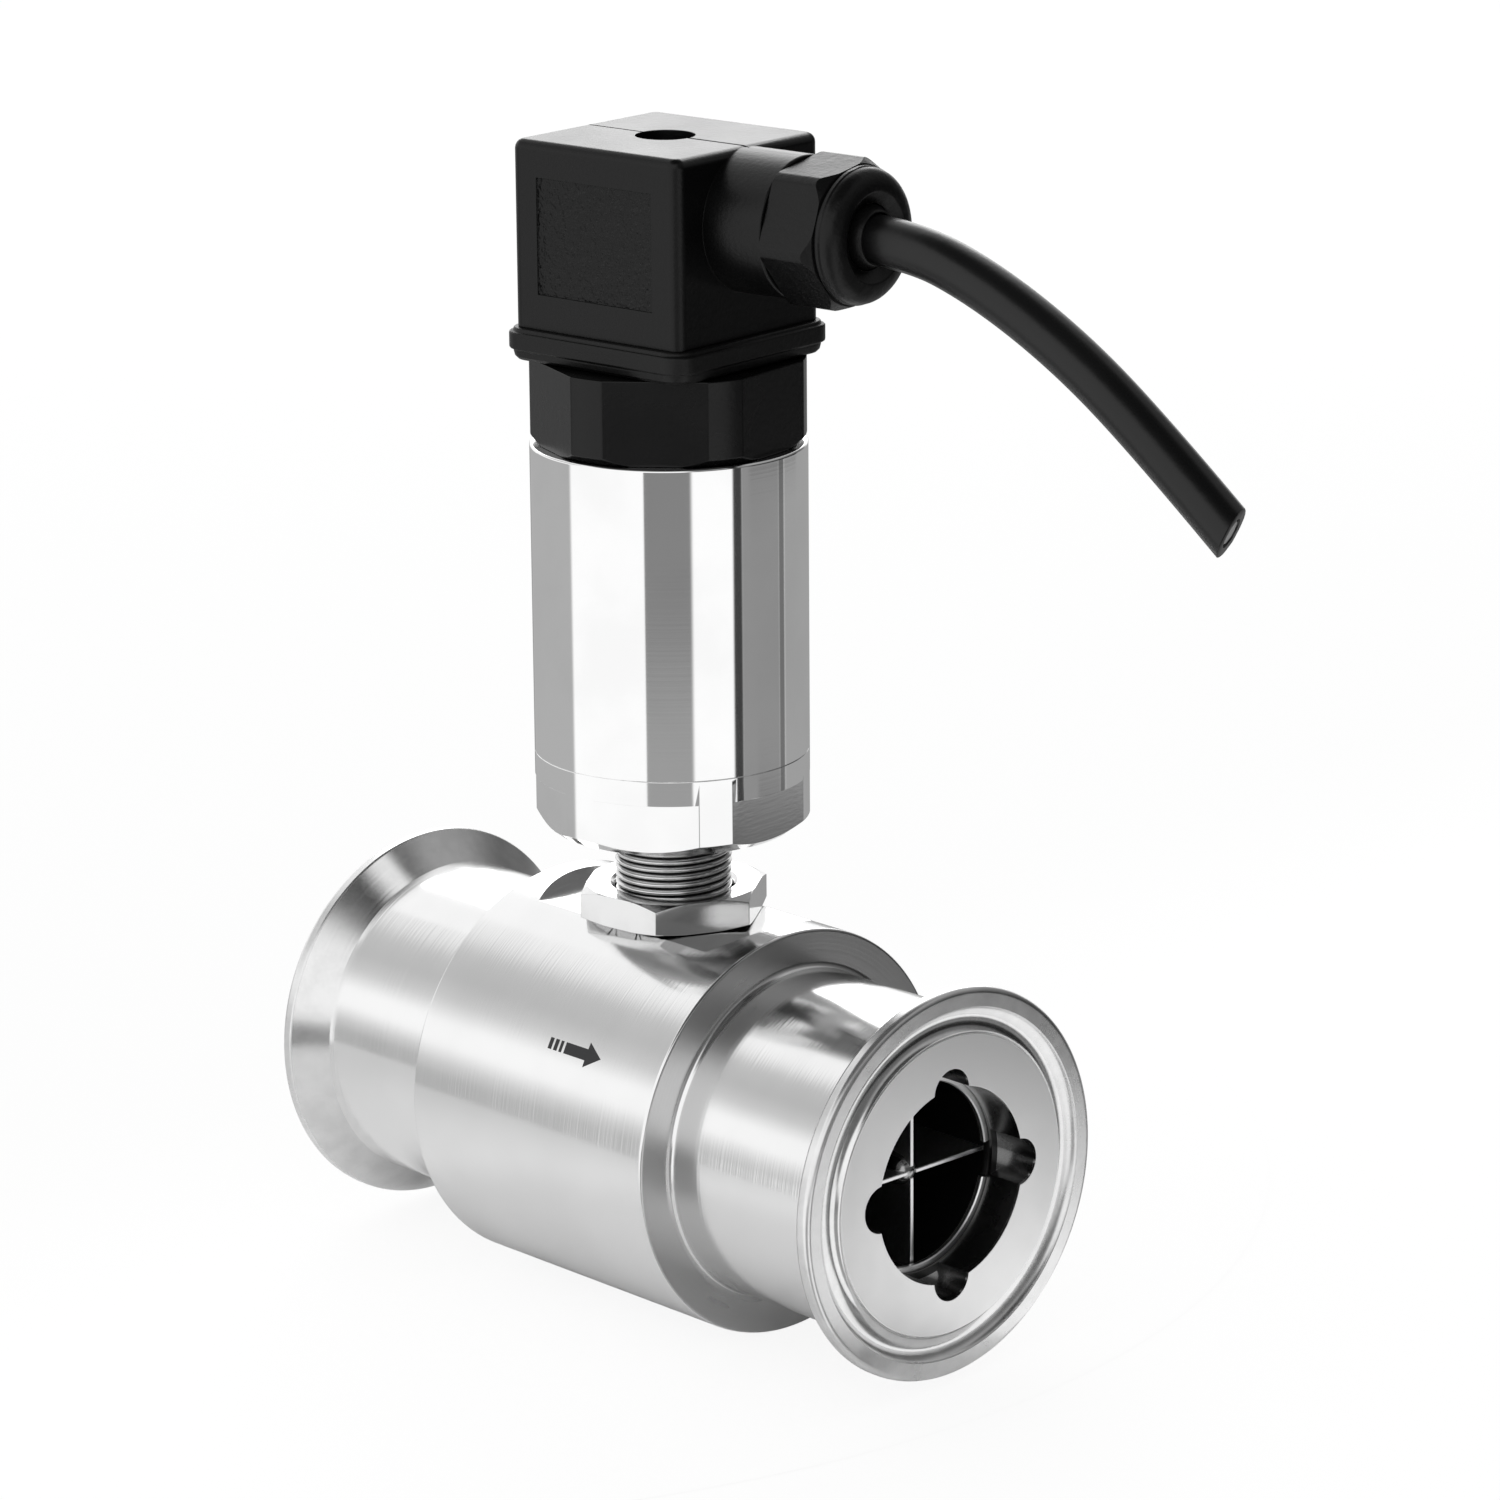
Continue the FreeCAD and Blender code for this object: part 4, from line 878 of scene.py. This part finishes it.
def make_sleeve():
    lip = 0.35
    outline = [(SEAM_Z, SLEEVE_BORE_R), (SEAM_Z, SLEEVE_R - SEAM_EDGE), (SEAM_Z + SEAM_EDGE, SLEEVE_R),
               (LIP_Z - lip, SLEEVE_R)]
    outline += arc(LIP_Z - lip, SLEEVE_R - lip, lip, lip, 90, 0, 4)[1:]
    outline += [(LIP_Z, SLEEVE_BORE_R), (SEAM_Z, SLEEVE_BORE_R)]
    sleeve = turned("sleeve", outline, "Z", 256)
    shade(sleeve, 30)
    put(sleeve, "pickup", POLISHED, ["housing_sleeve"], on_head=True)


def make_base():
    """The black hexagon that closes the sleeve, with a hole for the fixing screw's nut."""
    foot, hole_r, hole_floor = 81.0, 2.0, 86.8
    outline = [(foot, 0.0), (foot, SPIGOT_R), (LIP_Z, SPIGOT_R), (LIP_Z, BASE_R - 1.0),
               (LIP_Z + 0.2, BASE_R - 0.75), (LIP_Z + 0.95, BASE_R), (BASE_TOP_Z, BASE_R),
               (BASE_TOP_Z, hole_r), (hole_floor, hole_r), (hole_floor, 0.0), (foot, 0.0)]
    base = turned("connector_foot", outline, "Z", 144)
    trim(base, hexagon("base_flats", BASE_FLATS, 30, (0, 0, 75.0), "Z", BASE_SPIN))
    clean(base)
    soften(base, 0.15, 2, 15, clamp=False)
    shade(base, 25)
    put(base, "pickup", BASE_BLACK, ["connector_base"], on_head=True)


# Gasket and plug

def square(name, width, height, z, corner_r, segments=6):
    """An upright block with rounded upright edges."""
    piece = block(name, (width, width, height), (0, 0, z + height / 2))
    bevel_edges(piece, lambda a, b: abs(a.z - b.z) > 0.5 * height, corner_r, segments)
    return piece


def make_gasket():
    """A floor under the plug and a lip round its foot, flared at the top edge."""
    height = GASKET_TOP_Z - BASE_TOP_Z
    gasket = square("profile_lip", GASKET_WIDTH - 0.9, height, BASE_TOP_Z, 3.0)
    bevel_edges(gasket, lambda a, b: max(a.z, b.z) < BASE_TOP_Z + 0.01, 1.1, 3)
    combine(gasket, square("profile_brim", GASKET_WIDTH, 2.2, BASE_TOP_Z + 1.5, 3.2), "UNION")
    cut(gasket, square("gasket_seat", PLUG_FOOT + 0.2, height, BASE_TOP_Z + 1.4, PLUG_CORNER_R))
    clean(gasket)
    soften(gasket, 0.25, 3, 35, clamp=False)
    shade(gasket, 30)
    put(gasket, "pickup", RUBBER, ["profile_gasket"], on_head=True)


def make_plug():
    """The hollow plug with its side recesses, the gland's neck, the screw's well and the lines on its top."""
    height = PLUG_TOP_Z - GASKET_TOP_Z
    half = PLUG_WIDTH / 2
    plug = square("plug_shell", PLUG_WIDTH, height, GASKET_TOP_Z, PLUG_CORNER_R)
    bevel_edges(plug, lambda a, b: min(a.z, b.z) > PLUG_TOP_Z - 0.01, 1.2, 5)
    for side in (-1, 1):
        middle = (0, side * half, GASKET_TOP_Z + height / 2)
        cut(plug, block("recess", (RECESS_WIDTH, 0.5, RECESS_HEIGHT), middle))
    foot_depth = 2.8
    foot = square("plug_foot", PLUG_FOOT, 3.0, GASKET_TOP_Z - foot_depth, PLUG_CORNER_R)
    combine(plug, foot, "UNION")
    cavity = square("plug_cavity", PLUG_FOOT - 2 * PLUG_WALL, height - PLUG_WALL + foot_depth,
                    GASKET_TOP_Z - foot_depth - 0.1, PLUG_CORNER_R)
    cut(plug, cavity)
    root, thread_r, thread_end = half - 0.9, 7.2, 30.0
    neck = turned("gland_neck", [(root, 0.0), (root, GLAND_NECK_R), (GLAND_NECK_END - 0.2, GLAND_NECK_R),
                                 (GLAND_NECK_END, GLAND_NECK_R - 0.15), (GLAND_NECK_END, thread_r),
                                 (thread_end, thread_r), (thread_end, 0.0), (root, 0.0)], "X", 96)
    neck.location.z = GLAND_Z
    combine(plug, settle(neck), "UNION")
    cut(plug, rod("gland_bore", GLAND_BORE_R, 30, (5, 0, GLAND_Z), "X", 64))
    column = rod("well_wall", WELL_R + 1.25, 11.0, (0, 0, WELL_FLOOR_Z - 2.6), sides=64)
    combine(plug, column, "UNION")
    cut(plug, rod("screw_well", WELL_R, 10, (0, 0, WELL_FLOOR_Z), sides=72))
    cut(plug, rod("screw_hole", 1.65, 30, (0, 0, 100.0), sides=32))
    cut(plug, block("seam_cutter", (half, 0.4, 0.7), (half / 2, 0, PLUG_TOP_Z)))
    cut(plug, block("mould_line", (half, 0.16, 0.16), (-half / 2, 0, PLUG_TOP_Z)))
    clean(plug)
    soften(plug, 0.1, 2, 35, clamp=False)
    shade(plug, 30)
    put(plug, "plug", PLUG_BLACK, ["plug_housing"], on_head=True)


def make_gland_nut():
    """A hexagon with rounded corners that ends in a bead, a dome and a countersunk mouth."""
    start, rim, end = GLAND_NECK_END + 0.1, GLAND_RIM, GLAND_END
    nut = hexagon("gland_cap_nut", GLAND_FLATS, end - start, (start, 0, 0), "X", GLAND_SPIN)
    bevel_edges(nut, lambda a, b: abs(a.x - b.x) > 5, 0.9, 4)
    dome = [(start, 0.0), (start, 9.3), (start + 0.2, 9.6), (rim - 1.4, 9.6), (rim - 0.1, 8.75),
            (rim, 8.35), (rim + 0.15, 8.35), (rim + 0.3, 8.55), (rim + 0.7, 8.55)]
    dome += arc(rim + 0.9, 5.8, end - rim - 0.9, 2.6, 90, 0, 10)
    dome += [(end - 0.1, 5.55), (end - 0.95, GLAND_MOUTH_R + 0.2), (end - 1.05, GLAND_MOUTH_R),
             (end - 1.05, 0.0), (start, 0.0)]
    trim(nut, turned("nut_dome", dome, "X", 144))
    cut(nut, rod("nut_thread", 7.35, rim - start, (start, 0, 0), "X", 64))
    cut(nut, rod("nut_mouth", GLAND_MOUTH_R, 20, (start, 0, 0), "X", 64))
    nut.location.z = GLAND_Z
    settle(nut)
    clean(nut)
    soften(nut, 0.12, 2, 30)
    shade(nut, 30)
    put(nut, "gland_nut", GLAND_BLACK, ["gland_nut"], on_head=True)


def make_gland_seal():
    """A rubber sleeve in the neck, whose conical nose stands in the nut's mouth."""
    back, nose, tip = 30.0, 32.7, 34.0
    outer_r, nose_r = GLAND_BORE_R - 0.1, 4.0
    hole_r = SEAL_HOLE_R
    outline = [(SEAL_START, hole_r), (SEAL_START, outer_r), (back, outer_r), (back, nose_r), (nose, nose_r),
               (tip - 0.15, hole_r + 0.35), (tip, hole_r + 0.15), (tip, hole_r), (SEAL_START, hole_r)]
    seal = turned("gland_rubber", outline, "X", 72)
    seal.location.z = GLAND_Z
    settle(seal)
    shade(seal, 30)
    put(seal, "plug", RUBBER, ["gland_seal"], on_head=True)


def make_fixing_screw():
    foot, seat, height = 92.3, 117.3, 2.6
    head = rod("screw_top", 3.0, height, (0, 0, seat), sides=64)
    combine(head, rod("screw_shank", 1.5, seat + 0.2 - foot, (0, 0, foot), sides=32), "UNION")
    cut(head, block("slot_cutter", (8.0, 0.8, 2.2), (0, 0, seat + height)))
    clean(head)
    soften(head, 0.12, 2, 35, clamp=False)
    shade(head, 30)
    put(head, "fixing_screw", SCREW_ZINC, ["fixing_screw"], on_head=True)


# Cable

def head_point(out, height):
    """A point in the head's own upright plane, in metres."""
    return Vector(((HEAD_X + out * math.cos(HEAD_TURN)) * MM, out * math.sin(HEAD_TURN) * MM, height * MM))


def make_cable():
    """The cord follows one smooth line, and its far end is cut off slantwise."""
    route = [(26.5, 0.0), (38.5, 0.0), (50.5, 3.7), (64.0, 10.8), (76.5, 20.1), (86.8, 28.8)]
    line = bpy.data.curves.new("cable", "CURVE")
    line.dimensions = "3D"
    line.resolution_u = 24
    spline = line.splines.new("NURBS")
    spline.points.add(len(route) - 1)
    for point, (out, drop) in zip(spline.points, route):
        point.co = (*head_point(out, GLAND_Z - drop), 1)
    spline.order_u = 3
    spline.use_endpoint_u = True
    cable = bpy.data.objects.new("cable_lead", line)
    bpy.context.scene.collection.objects.link(cable)
    centre = bpy.data.meshes.new_from_object(cable)
    path = [point.co.copy() for point in centre.vertices]
    bpy.data.meshes.remove(centre)
    line.bevel_depth = CABLE_R * MM
    line.bevel_resolution = 10
    line.use_fill_caps = True
    only(cable)
    bpy.ops.object.convert(target="MESH")
    cable = bpy.context.active_object

    tip = path[-1]
    onward = (tip - path[-2]).normalized()
    across = Vector((-math.sin(HEAD_TURN), math.cos(HEAD_TURN), 0))
    aside = Matrix.Rotation(math.radians(17.0), 3, "Z")
    upward = Matrix.Rotation(math.radians(-16.0), 3, across)
    slant = aside @ upward @ onward

    def end_face(facing, limit):
        return lambda middle, normal: (middle - tip).length < 3.5 * MM and abs(normal.dot(facing)) > limit

    edit(cable)
    bpy.ops.mesh.select_all(action="SELECT")
    bpy.ops.mesh.remove_doubles(threshold=0.002 * MM)
    pick(cable, end_face(onward, 0.9))
    bpy.ops.mesh.extrude_region_move(TRANSFORM_OT_translate={"value": onward * 2.5 * MM})
    bpy.ops.mesh.select_all(action="SELECT")
    bpy.ops.mesh.bisect(plane_co=tip, plane_no=slant, use_fill=True, clear_outer=True)
    pick(cable, end_face(slant, 0.95))
    for inward, outward in ((0.15, 0.1), (1.2, 0.0), (0.15, -0.5), (0.3, 0.35)):
        bpy.ops.mesh.inset(thickness=inward * MM, depth=outward * MM)
    leave_edit()
    cable.name = cable.data.name = "cable_lead"
    cable.data.materials.clear()
    cable.data.materials.append(SHEATH)
    cable.data.materials.append(INSIDE["grey_plastic"])
    for face in cable.data.polygons:
        if (face.center - tip).length < 1.9 * MM and abs(face.normal.dot(slant)) > 0.5:
            face.material_index = 1
    only(cable)
    bpy.ops.object.shade_smooth_by_angle(angle=math.radians(35))
    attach(cable, "plug")
    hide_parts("cable")


make_barrel()
make_ferrules()
make_straighteners()
make_stem()
make_lock_nut()
make_sleeve()
make_base()
make_gasket()
make_plug()
make_gland_nut()
make_gland_seal()
make_fixing_screw()
make_cable()

slots = {part["node"]: part["material_slot"] for part in frame["record"]["subparts"]}
for node, piece in frame["nodes"].items():
    piece.data.materials.clear()
    piece.data.materials.append(INSIDE[slots[node]])


# Studio

def card_white():
    material = bpy.data.materials.new("card_white")
    tree = Tree(material)
    paint = tree.add("ShaderNodeEmission", inputs={"Color": (1, 1, 1, 1), "Strength": 1.0})
    tree.add("ShaderNodeOutputMaterial", inputs={"Surface": paint})
    return material


def floor_white():
    """Pale paint that keeps the object's shadow and is seen almost white."""
    material = bpy.data.materials.new("floor_white")
    tree = Tree(material)
    path = tree.nodes.new("ShaderNodeLightPath")
    seen = Wire(tree, path.outputs["Is Camera Ray"])
    along = tree.parts(tree.place())[0]
    # Painted shade: the paint is darker towards the inlet's side, so that the metal mirrors a darker floor
    # there.
    tone = tree.between(along, -0.06, 0.03)
    paint = tree.add("ShaderNodeBsdfDiffuse", inputs={"Color": tree.blend(tone, colour(0.7), colour(0.88))})
    white = tree.add("ShaderNodeEmission", inputs={"Color": (1, 1, 1, 1), "Strength": 1.05})
    mixed = tree.add("ShaderNodeMixShader", inputs={0: seen * 0.85, 1: paint, 2: white})
    tree.add("ShaderNodeOutputMaterial", inputs={"Surface": mixed})
    return material


CARD = card_white()
FLOOR = floor_white()
FLOOR_Z = cad_box[0][2]


def make_floor():
    """A round floor near the object, on a far larger one that shiny surfaces don't mirror."""
    for name, radius, middle, drop in (("floor_near", 0.13, -0.02, 0.0), ("floor_far", 4.0, 0.05, 0.0001)):
        deselect()
        bpy.ops.mesh.primitive_circle_add(vertices=128, radius=radius, fill_type="NGON",
                                          location=(middle, 0, FLOOR_Z - drop))
        floor = settle(named(name))
        floor.visible_glossy = not drop
        floor.data.materials.append(FLOOR)


def make_card():
    """A white card on the floor, behind the outlet, that the outlet's flat face mirrors."""
    deselect()
    bpy.ops.mesh.primitive_plane_add(size=1, location=(0.147, 0.045, FLOOR_Z + 0.0005),
                                     rotation=(0, 0, math.radians(44.0)))
    card = named("card_behind")
    card.scale = (0.1, 0.05, 1)
    settle(card)
    card.visible_camera = card.visible_shadow = card.visible_diffuse = False
    card.data.materials.append(CARD)


def make_world():
    """A pale studio: white above, soft grey bands near the horizon, and grey flags round the sides."""
    world = bpy.data.worlds.new("studio")
    bpy.context.scene.world = world
    tree = Tree(world)
    x, y, height = tree.parts(tree.add("ShaderNodeTexCoord", out=0))
    side = y.angle_with(x) * (180 / math.pi)

    def band(first, last, edge=2.0):
        begins = tree.between(side, first - edge, first + edge)
        return begins * tree.between(side, last - edge, last + edge, 1.0, 0.0)

    # Above the horizon: white, with a soft grey band on the left and a dark wall behind on the right
    left = tree.between(side, -135.0, -125.0, 1.0, 0.0)
    layers = tree.ramp((height + 1.0) * 0.5, (0.0, 0.4), (0.44, 0.4), (0.5, 0.62), (0.56, 1.0), (0.635, 1.0),
                       (0.7, 0.62), (0.76, 0.5), (0.82, 0.55), (0.85, 1.0), (1.0, 1.0))
    sky = 1 - left * (1 - layers)
    wall = band(-26.0, 108.0, 8.0) * tree.between(height, 0.75, 0.95, 1.0, 0.0)
    sky = sky * (1 - wall * tree.between(height, 0.3, 0.65, 0.86, 0.65))

    # Below the horizon: the flags that the upright sleeve mirrors as stripes
    low = tree.between(height, -0.12, -0.06, 1.0, 0.0)
    dim_left = band(154.0, 190.0) + band(-190.0, -132.7)
    middle = tree.between(side, -64.7, -63.7) * tree.between(side, -27.2, -23.2, 1.0, 0.0)
    flags = (1 - 0.58 * dim_left) * (1 - middle * tree.between(height, -0.275, -0.24, 0.66, 0.78))
    flags = flags * (1 - 0.95 * band(10.5, 19.0, 1.2))
    flags = flags * (1 - 0.73 * band(19.0, 59.0, 1.0)) * (1 - 0.84 * band(59.0, 66.0, 1.0))
    flags = flags * (1 - 0.66 * band(66.0, 154.0))
    flags = flags * (1 - 0.55 * band(34.0, 64.0, 3.0) * tree.between(height, -0.282, -0.278, 1.0, 0.0))
    behind = band(26.0, 86.0, 3.0) * tree.between(height, -0.221, -0.217)
    behind = behind * tree.between(height, 0.05, 0.2, 1.0, 0.0)
    level = (sky * (1 - low) + flags * low) * (1 - 0.9 * behind)

    # A dark ceiling, leant towards the camera's side, that shiny surfaces mirror and that dims no light
    path = tree.nodes.new("ShaderNodeLightPath")
    mirrored = Wire(tree, path.outputs["Is Glossy Ray"])
    overhead = x * 0.126 - y * 0.12 + height * 0.985
    level = level * (1 - 0.93 * mirrored * tree.between(overhead, 0.7, 0.86))
    seen = Wire(tree, path.outputs["Is Camera Ray"])
    strength = level * (1 - seen) + seen
    background = tree.add("ShaderNodeBackground", inputs={"Color": (1, 1, 1, 1), "Strength": strength})
    tree.add("ShaderNodeOutputWorld", inputs={"Surface": background})


def make_camera():
    """The photograph's viewing angle."""
    azimuth, tilt, roll = math.radians(46.28), math.radians(15.7), math.radians(-0.45)
    back = Vector((math.sin(azimuth) * math.cos(tilt), -math.cos(azimuth) * math.cos(tilt), math.sin(tilt)))
    level_right = (-back).cross(Vector((0, 0, 1))).normalized()
    level_up = level_right.cross(-back)
    right = math.cos(roll) * level_right + math.sin(roll) * level_up
    up = -math.sin(roll) * level_right + math.cos(roll) * level_up
    place = Matrix((right, up, back)).transposed().to_4x4()
    place.translation = Vector((0.5685, -0.4821, 0.2452))
    lens = bpy.data.cameras.new("camera")
    lens.lens = 137.88
    lens.sensor_width = 36.0
    lens.clip_end = 50.0
    camera = bpy.data.objects.new("camera", lens)
    camera.matrix_world = place
    bpy.context.scene.collection.objects.link(camera)
    bpy.context.scene.camera = camera


def make_lamp():
    """One weak window behind the object, on the left."""
    spot = Vector((-0.75, 0.75, 0.5))
    light = bpy.data.lights.new("back_window", "AREA")
    light.size = 0.7
    light.energy = 3.0
    lamp = bpy.data.objects.new("back_window", light)
    lamp.location = spot
    lamp.rotation_euler = (Vector((0.05, 0, 0.05)) - spot).to_track_quat("-Z", "Y").to_euler()
    bpy.context.scene.collection.objects.link(lamp)


make_floor()
make_card()
make_world()
make_camera()
make_lamp()
bpy.context.scene.view_settings.view_transform = "Standard"
